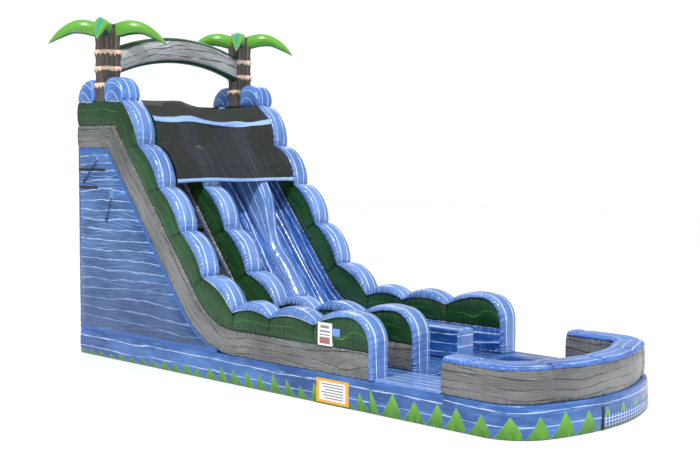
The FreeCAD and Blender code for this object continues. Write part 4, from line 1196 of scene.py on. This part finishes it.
def box_uv(obj):
    """UVs in metres with streaks running level, or along the slide on top faces."""
    mesh = obj.data
    layer = mesh.uv_layers.get("UVMap") or mesh.uv_layers.new(name="UVMap")
    for face in mesh.polygons:
        n = face.normal
        for loop in face.loop_indices:
            p = mesh.vertices[mesh.loops[loop].vertex_index].co
            if abs(n.z) > 0.75:
                layer.data[loop].uv = (p.y, p.x)
            elif abs(n.x) > abs(n.y):
                layer.data[loop].uv = (p.y, p.z)
            else:
                layer.data[loop].uv = (p.x, p.z)


def arch_uv(obj, box):
    """UVs in metres with streaks that run up, over and down a bump, from its back to its front."""
    middle, foot_z = (box[0].y + box[1].y) / 2, box[0].z
    mesh = obj.data
    layer = mesh.uv_layers["UVMap"]
    for face in mesh.polygons:
        flat_side = abs(face.normal.x) > 0.7
        for loop in face.loop_indices:
            p = mesh.vertices[mesh.loops[loop].vertex_index].co
            turn, radius = math.atan2(p.z - foot_z, p.y - middle), math.hypot(
                p.z - foot_z, p.y - middle
            )
            layer.data[loop].uv = (turn * 0.35, radius + 7 if flat_side else p.x)


def inflated(node, voxel, rounds, material, swell=0.0, stands_for=None, body="slide"):
    """A CAD chamber remeshed, rounded and swollen a little, for the smaller cushions."""
    obj = shell(node)
    remesh = obj.modifiers.new("remesh", "REMESH")
    remesh.mode = "VOXEL"
    remesh.voxel_size = voxel
    smooth = obj.modifiers.new("smooth", "SMOOTH")
    smooth.factor, smooth.iterations = 0.5, rounds
    if swell:
        push = obj.modifiers.new("swell", "DISPLACE")
        push.strength, push.mid_level = swell, 0.0
    bake_modifiers(obj)
    obj.data.shade_smooth()
    box_uv(obj)
    finish_piece(obj, material, body, stands_for=stands_for or [node])
    return obj


RIDGE_TOP = ((-0.06, 0.935), (0.75, 0.970), (1.6, 0.910), (1.9, 0.850), (2.13, 0.735),
             (2.62, 0.495),
             (3.3, 0.505), (3.96, 0.460))


def ridge_top(s):
    """Height of the ridge above the deck line at distance s down the slope."""
    return smooth_line(
        [a for a, _ in RIDGE_TOP], [b for _, b in RIDGE_TOP], np.clip(s, -0.06, 3.96)
    )


def make_ridge():
    """The cushion between the slide lanes: a tall upper part, a pinch and a low tube."""
    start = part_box("slide_divider_ridge")[1].y
    low_line = [on_slope(s, 0.26) for s in np.linspace(0.20, 3.98, 60)]
    high_line = [(BACK - start + 0.01, WALL_TOP - 0.01)]
    high_line += [
        on_slope(s, float(ridge_top(np.array([s]))[0])) for s in np.linspace(-0.06, 3.96, 60)
    ]
    count = 230
    lows, highs = (resample(line, count) for line in (low_line, high_line))
    centre, half = sum(RIDGE) / 2, (RIDGE[1] - RIDGE[0]) / 2
    way = np.cumsum(np.concatenate([[0], np.linalg.norm(np.diff(highs, axis=0), axis=1)]))
    pinched = np.exp(-(((way - 3.02) / 0.10) ** 2))
    narrow = np.exp(-(((way - 3.02) / 0.32) ** 2))
    folds = gathers(way, 231)
    rings = []
    for k in range(count):
        ring = []
        for turn in np.linspace(0, math.pi, 30):
            side = math.copysign(abs(math.cos(turn)) ** 0.7, math.cos(turn))
            up = math.sin(turn) ** 0.7 if turn < math.pi else 0.0
            fold = 0.012 * folds[k] * math.exp(-abs(abs(side) - 0.72) / 0.06)
            cross = 0.014 * gathers(np.array([side * half + 4]), 233)[0] * narrow[k] * up
            width = half * (1 - 0.14 * narrow[k] - 0.06 * pinched[k]) + fold
            point = lows[k] + (highs[k] - lows[k]) * up * (1 - 0.03 * pinched[k])
            point = (
                point
                + (highs[k] - lows[k]) / np.linalg.norm(highs[k] - lows[k]) * (fold + cross)
            )
            ring.append(place(centre - side * width, *point))
        rings.append(ring)
    finish_piece(loft("slide_divider_ridge", round_ends(rings, 0.05)), BLUE_CAP,
                 stands_for=["slide_divider_ridge"])


def make_exit_block():
    """The low cushion between the run-outs: marbled sides in a lighter frame."""
    obj = inflated("exit_divider_block", 0.028, 9, [BLUE_DARK, BLUE_CAP], swell=0.008)
    for face in obj.data.polygons:
        if face.normal.z > 0.55 or face.normal.y < -0.55:
            face.material_index = 1


def make_lanes():
    make_bed("left_slide_bed", BED_RISE, BLUE_LANE, 201)
    make_bed("right_slide_bed", BED_RISE, BLUE_LANE, 211)
    make_bed("climbing_bed", CLIMB_RISE, CLIMB, 221, dish=0.012, ridges=1)
    inflated("climbing_steps", 0.018, 6, CLIMB, swell=0.002)
    make_ridge()
    make_exit_block()
    inflated("platform_rear_wall", 0.035, 8, GREEN, swell=0.005)
    inflated("exit_step_pad", 0.012, 6, BLUE_CAP, swell=0.002)
    for node in ("front_bumps", "rear_bumps"):
        obj = inflated(node, 0.022, 55, BLUE_BUMP, swell=0.036)
        arch_uv(obj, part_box(node))


# --- palms and arch -------------------------------------------------------------------------------


def rounded_square(half, turn, power=6.0):
    """A point of a square with round corners, at this turn."""
    c, s = math.cos(turn), math.sin(turn)
    r = half / (abs(c) ** power + abs(s) ** power) ** (1 / power)
    return r * c, r * s


def make_trunk(side):
    node = f"{side}_palm_trunk"
    low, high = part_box(node)
    centre, half = (low + high) / 2, (high.x - low.x) / 2
    turns = np.linspace(0, 2 * math.pi, 120, endpoint=False)
    rings = []
    for z in np.linspace(low.z - 0.02, high.z, 100):
        share = (z - low.z - 0.32) / 0.32
        waist = 0.004 * math.cos(2 * math.pi * share)
        ring = []
        for turn in turns:
            x, y = rounded_square(half - 0.008 + waist, turn)
            seam = min(abs(math.sin(2 * turn + 0.45)), abs(math.sin(2 * turn - 0.45)))
            sunk = 0.011 * math.exp(-((seam / 0.10) ** 2))
            fold = 0.004 * ripple(np.array([z * 1.0 + 5 * round(2 * turn)]), 0.05, 81)[0]
            scale = 1 - (sunk + fold * math.exp(-((seam / 0.35) ** 2))) / half
            ring.append((centre.x + x * scale, centre.y + y * scale, z))
        rings.append(ring)
    rings = round_ends(rings, 0.05)
    finish_piece(loft(node, rings), BARK, stands_for=[node])
    return centre, half


def make_fringes(trunks):
    """Ragged bark rings round both trunks."""
    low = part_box("trunk_fringes")[0].z
    points, faces = [], []
    count = 220
    for number, (centre, half) in enumerate(trunks):
        for level in range(3):
            foot_z = low + 0.32 * level
            top_z = foot_z + 0.10
            chance = np.random.default_rng(900 + 10 * number + level)
            teeth = chance.uniform(0.0, 0.075, count // 5 + 1)
            start = len(points)
            for j in range(count):
                turn = 2 * math.pi * j / count
                tooth = teeth[j // 5]
                ragged = foot_z + 0.045 - tooth * (1 - abs((j % 5) - 2) / 4.5)
                ragged = max(ragged, foot_z - 0.035)
                for out, z in (
                    (0.001, top_z), (0.011, top_z - 0.006), (0.012, foot_z + 0.045),
                    (0.010, ragged), (0.001, ragged)
                ):
                    x, y = rounded_square(half + out, turn)
                    points.append((centre.x + x, centre.y + y, z))
            for j in range(count):
                k = (j + 1) % count
                for s in range(5):
                    n = (s + 1) % 5
                    faces.append(
                        (start + j * 5 + s, start + k * 5 + s, start + k * 5 + n, start + j * 5 + n)
                    )
    obj = raw_mesh("trunk_fringes", points, faces)
    face_outwards(obj)
    finish_piece(obj, FRINGE, stands_for=["trunk_fringes"])


FROND = (
    # distance out, top, underside, half width
    (0.12, 0.010, -0.260, 0.080),
    (0.26, 0.052, -0.245, 0.118),
    (0.437, 0.085, -0.205, 0.140),
    (0.667, 0.050, -0.195, 0.128),
    (0.885, -0.075, -0.275, 0.092),
    (1.046, -0.230, -0.345, 0.050),
    (1.145, -0.368, -0.392, 0.012),
)


def smooth_line(xs, ys, at):
    """A curve through the values, with the slope at each taken from its neighbours."""
    xs, ys = np.array(xs), np.array(ys)
    slopes = np.gradient(ys, xs)
    k = np.clip(np.searchsorted(xs, at) - 1, 0, len(xs) - 2)
    h = xs[k + 1] - xs[k]
    t = (at - xs[k]) / h
    return ((2 * t**3 - 3 * t**2 + 1) * ys[k] + (t**3 - 2 * t**2 + t) * h * slopes[k]
            + (3 * t**2 - 2 * t**3) * ys[k + 1] + (t**3 - t**2) * h * slopes[k + 1])


def make_fronds(side, centre, top):
    """Four inflated leaves with lime sides, a teal strip on top and a dark underside."""
    node = f"{side}_palm_fronds"
    outs = [row[0] for row in FROND]
    reach = np.linspace(outs[0], outs[-1], 56)
    tops, unders, halves = (smooth_line(outs, [row[k] for row in FROND], reach) for k in (1, 2, 3))
    section = ((0.00, 1.00), (0.42, 0.975), (0.78, 0.80), (0.98, 0.58), (0.92, 0.38), (0.64, 0.12),
               (0.40, 0.02),
               (0.0, 0.0))
    shape = list(section) + [(-a, b) for a, b in reversed(section[1:-1])]
    fine = []
    for (a0, b0), (a1, b1) in zip(shape, shape[1:] + shape[:1]):
        for t in (0, 0.34, 0.67):
            fine.append((a0 + (a1 - a0) * t, b0 + (b1 - b0) * t))
    points, faces, kinds = [], [], []
    m = len(fine)
    for quarter in range(4):
        turn = math.radians(45 + 90 * quarter)
        outward, sideways = np.array([math.cos(turn), math.sin(turn)]), np.array(
            [-math.sin(turn), math.cos(turn)]
        )
        start = len(points)
        for k, r in enumerate(reach):
            fold = 0.5 + 0.5 * abs(ripple(np.array([r + quarter]), 0.05, 91)[0])
            for a, b in fine:
                edge = math.exp(-(((abs(a) - 0.42) / 0.08) ** 2)) * (b > 0.9)
                x, y = np.array([centre.x,
                centre.y]) + outward * r + sideways * a * halves[k] * 1.12
                points.append(
                    (x, y, top + unders[k] + (tops[k] - unders[k]) * b - 0.006 * edge * fold)
                )
        for k in range(len(reach) - 1):
            for j in range(m):
                n = (j + 1) % m
                faces.append(
                    (
                        start + k * m + j, start + k * m + n, start + (k + 1) * m + n,
                        start + (k + 1) * m + j
                    )
                )
                a, b = fine[j][0] / 2 + fine[n][0] / 2, fine[j][1] / 2 + fine[n][1] / 2
                kinds.append(1 if b > 0.95 and abs(a) < 0.43 else 2 if b < 0.10 else 0)
        faces.append(tuple(start + j for j in range(m)))
        faces.append(tuple(start + (len(reach) - 1) * m + j for j in reversed(range(m))))
        kinds += [0, 0]
    obj = raw_mesh(node, points, faces)
    face_outwards(obj)
    for face, kind in zip(obj.data.polygons, kinds):
        face.material_index = kind
    modifier = obj.modifiers.new("round", "SUBSURF")
    modifier.levels = modifier.render_levels = 1
    bake_modifiers(obj)
    finish_piece(obj, [LIME, TEAL, DEEP_TEAL], stands_for=[node])


def make_arch():
    """The beam between the palms: grey sides, a thin green top and a dark green underside."""
    low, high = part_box("arch_beam")
    half, thick = high.x, high.y - low.y
    foot_z, height, rise = WALL_TOP + 0.56, 0.51, 0.30
    stations = np.linspace(0, 1, 130)
    lower = [arc((-half, foot_z), (half, foot_z), rise, t) for t in stations]
    upper = [
        arc((-half, foot_z + height), (half, foot_z + height), rise - 0.02, t) for t in stations
    ]
    side_rows = 12
    for name, material, parts in (
        ("arch_beam", ARCH_GREY, "sides"), ("arch_top_strip", GREEN, "top"),
        ("arch_underside_strip", GREEN, "under")
    ):
        rings = []
        for k, t in enumerate(stations):
            a, b = np.array(lower[k]), np.array(upper[k])
            fold = gathers(np.array([t * 3]), 121)[0] * 0.008
            ring = []
            if parts == "sides":
                for sign in (1, -1):
                    for share, depth in side_profile(0.045, side_rows)[:: sign]:
                        edge = min(share, 1 - share) * height
                        inside = depth - fold * math.exp(-edge / 0.05)
                        x, z = a + (b - a) * (0.09 + 0.80 * share)
                        y = (low.y + high.y) / 2 + sign * (thick / 2 - inside)
                        ring.append((x, y, z))
            else:
                centre, level = (low.y + high.y) / 2, b if parts == "top" else a
                swell = 0.020 if parts == "top" else -0.012
                for share in np.linspace(-1, 1, 15):
                    wide = thick / 2 - 0.040
                    drop = (0.070 if parts == "top" else -0.052) * abs(share) ** 3
                    ring.append(
                        (level[0], centre + share * wide, level[1] + swell * (1 - share**2) - drop)
                    )
                for share in (0.5, -0.5):
                    ring.append(
                        (
                            level[0], centre + share * thick / 2,
                            level[1] - math.copysign(0.08, swell)
                        )
                    )
            rings.append(ring)
        obj = loft(name, rings)
        finish_piece(obj, material, stands_for=["arch_beam"] if parts == "sides" else ())


# --- shade mesh -----------------------------------------------------------------------------------

MESH_LINE = ((-0.42, -0.105), (0.11, 0.0), (1.08, 0.0), (1.53, -0.14))


def crown_above():
    """The crown of a wall on the slope, as distances down it and heights above the deck line."""
    crowns = [c for _, _, c in wall_stations(MIDDLE_BACK) if c is not None]
    down = [(d - KNEE) * math.cos(SLOPE) - (z - PLATFORM) * math.sin(SLOPE) for d, z in crowns]
    above = [(d - KNEE) * math.sin(SLOPE) + (z - PLATFORM) * math.cos(SLOPE) for d, z in crowns]
    count = int(np.argmax(np.array(down) > 3.5))
    return down[:count], above[:count]


def mesh_start(x, s, crowns):
    """A place on the mesh before it drapes: a tent over the middle wall and the ridge."""
    above = MESH_RISE + np.interp(s, [a for a, _ in MESH_LINE], [b for _, b in MESH_LINE])
    tents = [above]
    over_wall = np.interp(s, *crowns) + 0.022
    over_ridge = float(ridge_top(np.array([s]))[0]) + 0.022
    for (low, high), crest in ((MIDDLE, over_wall), (RIDGE, over_ridge)):
        outside = max(low - x, x - high, -0.05)
        tents.append(crest - 0.30 * max(0, outside) - 0.02 * max(0, outside + 0.05) / 0.05)
    wall = max(0, INNER - abs(x))
    hem = min(above, np.interp(s, *crowns) - 0.02)
    tents[0] = above + (hem - above) * math.exp(-((wall / 0.22) ** 1.5))
    peak, above = 0.012, tents[0]
    above = peak * math.log(
        sum(math.exp((t - above) / peak) for t in tents)
    ) + above
    d, z = on_slope(s, above)
    return np.array(place(x, d, z))


def drape(start):
    """Cloth hung between the outer walls; returns its points after the simulation."""
    rows, columns = start.shape[:2]
    points = start.reshape(-1, 3)
    faces = [
        (i * columns + j, i * columns + j + 1, (i + 1) * columns + j + 1, (i + 1) * columns + j)
        for i in range(rows - 1) for j in range(columns - 1)
    ]
    sheet = raw_mesh("draped_cloth", points, faces)
    pins = sheet.vertex_groups.new(name="pins")
    held = [i * columns + j for i in range(rows) for j in (0, columns - 1)]
    pins.add(held, 1.0, "REPLACE")
    modifier = sheet.modifiers.new("cloth", "CLOTH")
    cloth = modifier.settings
    cloth.quality, cloth.mass = 8, 0.2
    cloth.tension_stiffness = cloth.compression_stiffness = 30
    cloth.shear_stiffness, cloth.bending_stiffness = 10, 0.5
    cloth.vertex_group_mass = "pins"
    modifier.collision_settings.distance_min = 0.012
    modifier.point_cache.frame_end = 40
    blockers = [
        bpy.data.objects[node + SUFFIX] for node in ("middle_wall_cap", "slide_divider_ridge")
    ]
    for blocker in blockers:
        blocker.modifiers.new("collision", "COLLISION")
        blocker.collision.thickness_outer = 0.012
    scene = bpy.context.scene
    for number in range(1, 36):
        scene.frame_set(number)
    depsgraph = bpy.context.evaluated_depsgraph_get()
    made = sheet.evaluated_get(depsgraph).to_mesh()
    result = np.array([sheet.matrix_world @ v.co for v in made.vertices])
    for blocker in blockers:
        blocker.modifiers.clear()
    scene.frame_set(1)
    bpy.data.objects.remove(sheet)
    return result.reshape(rows, columns, 3)


def grid_normals(grid):
    a, b = np.gradient(grid, axis=0), np.gradient(grid, axis=1)
    n = np.cross(b, a)
    n /= np.linalg.norm(n, axis=2)[..., None]
    return n * np.sign(n[..., 2:].mean())


def strip(name, grid, rows, lift, thick, material, node):
    """Webbing sewn along rows of the mesh."""
    normals = grid_normals(grid)
    lower = grid[rows] + normals[rows] * lift
    upper = lower + normals[rows] * thick
    rings = np.concatenate([lower, upper[::-1]], 0).transpose(1, 0, 2)
    return finish_piece(loft(name, rings), material, stands_for=[node])


def make_shade_mesh():
    grid_x = np.linspace(-INNER + 0.002, INNER - 0.002, 92)
    grid_s = np.linspace(MESH_LINE[0][0], MESH_LINE[-1][0], 62)
    crowns = crown_above()
    grid = np.array([[mesh_start(x, s, crowns) for x in grid_x] for s in grid_s])
    grid = drape(grid)
    obj = loft("shade_mesh", grid, closed=False, capped=False)
    finish_piece(obj, MESH, stands_for=["shade_mesh"])
    upper_row = int(np.argmin(np.abs(grid_s - 0.137)))
    upper = strip("upper_mesh_strap", grid, slice(
        upper_row - 2, upper_row + 3
    ), 0.006, 0.005, TRIM,
                  "upper_mesh_strap")
    lower = strip("lower_mesh_strap", grid, slice(
        len(grid_s) - 3, len(grid_s)
    ), 0.006, 0.005, TRIM,
                  "lower_mesh_strap")


# --- tie straps, knots and patches ----------------------------------------------------------------

STRAP_RADIUS = 0.009
STRAP_STAND = HALF + 0.021
STRAP_ROUTES = {
    "upper": (
        (0.720, 3.862), (0.640, 3.810), (0.545, 3.735), (0.450, 3.640), (0.365, 3.550),
        (0.280, 3.478)
    ),
    "lower": (
        (1.155, 3.142), (1.128, 3.060), (1.088, 2.980), (1.060, 2.890), (1.020, 2.810),
        (1.004, 2.765)
    ),
}


def strap_points(level):
    route = STRAP_ROUTES[level]
    last = len(route) - 1
    return [
        place(-STRAP_STAND - 0.003 * math.sin(math.pi * k / last), d, z) for k,
        (d, z) in enumerate(route)
    ]


KNOT_WIRE = 0.0135  # half the thickness of the rolled strap in the knot


def make_knot(level):
    """A loosely tied knot in the strap's end: one rolled strap through itself."""
    low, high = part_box(f"{level}_strap_knot")
    middle = (low + high) / 2
    size = (high - low) / 2
    turns = np.linspace(0, 2 * math.pi, 90, endpoint=False)
    wire = KNOT_WIRE
    line = []
    for t in turns:
        r = 0.62 + 0.30 * math.cos(3 * t)
        line.append(np.array([
            0.45 * math.sin(3 * t) * (size.x - wire),
            r * math.cos(2 * t) * (size.y - wire),
            r * math.sin(2 * t) * (size.z - wire),
        ]) + np.array(middle))
    rings = []
    for k in range(len(line) + 1):
        here, ahead = line[k % len(line)], line[(k + 1) % len(line)]
        forward = (ahead - line[(k - 1) % len(line)])
        forward /= np.linalg.norm(forward)
        side = np.cross(forward, (1.0, 0.0, 0.0))
        side /= np.linalg.norm(side)
        other = np.cross(forward, side)
        rings.append([here + wire * (math.cos(a) * side + math.sin(a) * other)
                      for a in np.linspace(0, 2 * math.pi, 14, endpoint=False)])
    obj = loft(f"{level}_strap_knot", rings)
    finish_piece(obj, STRAP_BLUE, f"left_{level}_ring", [f"{level}_strap_knot"])
    return obj


def make_tie_strap(level):
    points = strap_points(level)
    name = f"{level}_tie_strap{SUFFIX}"
    curve = bpy.data.curves.new(name, "CURVE")
    curve.dimensions = "3D"
    curve.bevel_depth = STRAP_RADIUS
    curve.bevel_resolution = 5
    spline = curve.splines.new("NURBS")
    spline.points.add(len(points) - 1)
    for point, where in zip(spline.points, points):
        point.co = (*where, 1)
    spline.order_u = 3
    spline.use_endpoint_u = True
    spline.resolution_u = 12
    obj = bpy.data.objects.new(name, curve)
    bpy.context.scene.collection.objects.link(obj)
    body = f"left_{level}_ring"
    finish_piece(obj, STRAP_BLUE, body, [f"{level}_tie_strap"])
    knot = make_knot(level)


def flat_strip(name, corners, lift, thick, count=40):
    """A thin piece on the left side panel that follows its bulge; corners are (d0, z0, d1, z1)."""
    d0, z0, d1, z1 = corners
    rings = []
    for d in np.linspace(d0, d1, count):
        ring = []
        for z in np.linspace(z0, z1, 5):
            ring.append(place(-(HALF - side_point(d, z) + lift), d, z))
        for z in np.linspace(z1, z0, 5):
            ring.append(place(-(HALF - side_point(d, z) + lift + thick), d, z))
        rings.append(ring)
    return loft(name, rings)


def make_side_strips():
    strips = [flat_strip("strip", (0.004, 3.655, 0.94, 3.705), 0.0005, 0.004),
              flat_strip("strip", (0.004, 3.305, 0.70, 3.355), 0.0005, 0.004)]
    obj = join("side_webbing_strips", strips)
    finish_piece(obj, STRAP_BLACK, stands_for=["side_webbing_strips"])


def join(name, objects):
    """One object made of several."""
    work = bmesh.new()
    for obj in objects:
        work.from_mesh(obj.data)
    mesh = bpy.data.meshes.new(name + SUFFIX)
    work.to_mesh(mesh)
    work.free()
    mesh.shade_smooth()
    for obj in objects:
        bpy.data.objects.remove(obj)
    made = bpy.data.objects.new(name + SUFFIX, mesh)
    bpy.context.scene.collection.objects.link(made)
    return made


def plate(name, low, high, material, body="slide"):
    """A thin printed panel or patch, as a box."""
    low, high = Vector(low), Vector(high)
    centre, size = (low + high) / 2, high - low
    work = bmesh.new()
    bmesh.ops.create_cube(
        work, size=1.0, matrix=Matrix.Translation(centre) @ Matrix.Diagonal((*size, 1))
    )
    mesh = bpy.data.meshes.new(name)
    work.to_mesh(mesh)
    work.free()
    obj = bpy.data.objects.new(name, mesh)
    bpy.context.scene.collection.objects.link(obj)
    return finish_piece(obj, material, body)


def make_labels():
    """Blank labels with bars in place of writing."""
    x = -HALF
    plate(
        "side_label", place(x - 0.004, 7.05, 0.955), place(x + 0.03, 6.74, 1.32), WHITE,
    )
    bars = ((1.235, 1.28, 6.80, 6.99, LABEL_GREY), (1.17, 1.20, 6.78, 7.01, LABEL_GREY),
            (1.12, 1.14, 6.78, 7.01, LABEL_GREY), (0.985, 1.09, 6.78, 7.01, LABEL_RED))
    for k, (z0, z1, d0, d1, material) in enumerate(bars):
        plate(
            f"side_label_bar_{k + 1}", place(x - 0.006, d1, z0), place(x + 0.01, d0, z1), material,
        )
    plate(
        "side_patch", place(x - 0.003, 7.225, 1.13), place(x + 0.03, 7.06, 1.25), LABEL_BLUE,
    )
    plate(
        "base_panel", place(x - 0.003, 7.42, 0.03), place(x + 0.025, 6.71, 0.42), LABEL_YELLOW,
    )
    plate(
        "base_panel_inner", place(x - 0.005, 7.35, 0.075), place(x + 0.02, 6.78, 0.375), WHITE,
    )
    for k in range(6):
        z = 0.33 - 0.045 * k
        plate(f"base_panel_bar_{k + 1}", place(x - 0.007, 7.31, z), place(
            x + 0.01, 6.82 + 0.04 * (k % 3), z + 0.018
        ),
              LABEL_GREY)


# --- CAD pieces that keep their shape -------------------------------------------------------------


def dress(material, *nodes):
    for node in nodes:
        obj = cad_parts[node]
        obj.data.materials.clear()
        obj.data.materials.append(material)


def dress_small_pieces():
    dress(PATCH, "ring_patches")
    dress(STEEL, "left_upper_ring", "left_lower_ring", "right_upper_ring", "right_lower_ring")
    dress(STRAP_BLUE, "climbing_ladder_webbing", "zip_flap", "inflation_sleeve")
    dress(STRAP_BLACK, "sleeve_strap")
    dress(basin_vinyl(), "pool_liner")
    dress(plain("tower_inside", (0.03, 0.10, 0.34), 0.35), "tower_core", "platform_floor")
    dress(
        plain("blower_orange", (0.75, 0.26, 0.02), 0.38, coat=0.1, wave=200, bump=0.0004),
        "blower_housing"
    )
    dress(plain("blower_black", (0.02, 0.02, 0.02), 0.5, wave=200, bump=0.0004), "blower_motor",
          "blower_intake_grille", "blower_stand", "blower_impeller")
    dress(plain("switch_red", (0.5, 0.02, 0.02), 0.3), "blower_switch")
    dress(plain("zip_black", (0.02, 0.025, 0.04), 0.45), "deflation_zip", "zip_slider")


# --- stage ----------------------------------------------------------------------------------------


def make_stage():
    floor = raw_mesh(
        "floor", [(-60, -60, -0.001), (60, -60, -0.001), (60, 60, -0.001), (-60, 60, -0.001)],
        [(0, 1, 2, 3)]
    )
    floor.data.materials.append(plain("floor_pale", (0.82, 0.82, 0.82), 0.9, vary=0.0))
    world = bpy.data.worlds.new("studio")
    world.use_nodes = True
    tree = world.node_tree
    background = tree.nodes["Background"]
    background.inputs[0].default_value = (0.93, 0.95, 1.0, 1)
    seen = tree.nodes.new("ShaderNodeLightPath").outputs["Is Camera Ray"]
    strength = tree.nodes.new("ShaderNodeMath")
    strength.operation = "MULTIPLY_ADD"
    tree.links.new(seen, strength.inputs[0])
    strength.inputs[1].default_value, strength.inputs[2].default_value = 0.55, 0.62
    tree.links.new(strength.outputs[0], background.inputs[1])
    bpy.context.scene.world = world
    lamps = (
        ("key", (-14, -10, 17), 7.0, 1300, (0, -1, 2)),
        ("front", (6, -18, 12), 8.0, 600, (0, -2, 1)),
        ("back", (10, 12, 14), 9.0, 600, (0, 1, 2)),
    )
    for name, where, size, power, aim in lamps:
        light = bpy.data.lights.new(name, "AREA")
        light.size, light.energy = size, power
        obj = bpy.data.objects.new(name, light)
        obj.location = where
        obj.rotation_euler = (Vector(aim) - Vector(where)).to_track_quat("-Z", "Y").to_euler()
        bpy.context.scene.collection.objects.link(obj)
    sun = bpy.data.lights.new("sun", "SUN")
    sun.energy, sun.angle = 2.6, math.radians(2.5)
    obj = bpy.data.objects.new("sun", sun)
    obj.rotation_euler = Vector((0.55, 0.50, -0.95)).to_track_quat("-Z", "Y").to_euler()
    bpy.context.scene.collection.objects.link(obj)
    bpy.context.scene.view_settings.view_transform = "Standard"


def make_camera():
    data = bpy.data.cameras.new("camera")
    data.lens, data.sensor_width = 59.11, 36.0
    data.clip_end = 500
    camera = bpy.data.objects.new("camera", data)
    azimuth, pitch, roll = (math.radians(v) for v in (-47.048, 90 - 4.075, 0.261))
    turn = Matrix.Rotation(azimuth, 4, "Z") @ Matrix.Rotation(pitch, 4, "X") @ Matrix.Rotation(roll,
    4, "Z")
    camera.matrix_world = Matrix.Translation((-15.036, -15.692, 4.056)) @ turn
    bpy.context.scene.collection.objects.link(camera)
    bpy.context.scene.camera = camera


# --- the object -----------------------------------------------------------------------------------

make_camera()
make_stage()
for strap_level in STRAP_ROUTES:
    make_tie_strap(strap_level)
make_side_strips()
make_walls()
make_side_panel("left", -1)
make_side_panel("right", 1)
make_rear_panel()
make_main_base()
make_pool_base()
make_pool_wall()
make_pool_bands()
make_lanes()
trunks = [make_trunk(side) for side in ("left", "right")]
make_fringes(trunks)
for palm_side, (palm_centre, _) in zip(("left", "right"), trunks):
    make_fronds(palm_side, palm_centre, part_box(f"{palm_side}_palm_trunk")[1].z)
make_arch()
make_shade_mesh()
make_labels()
dress_small_pieces()
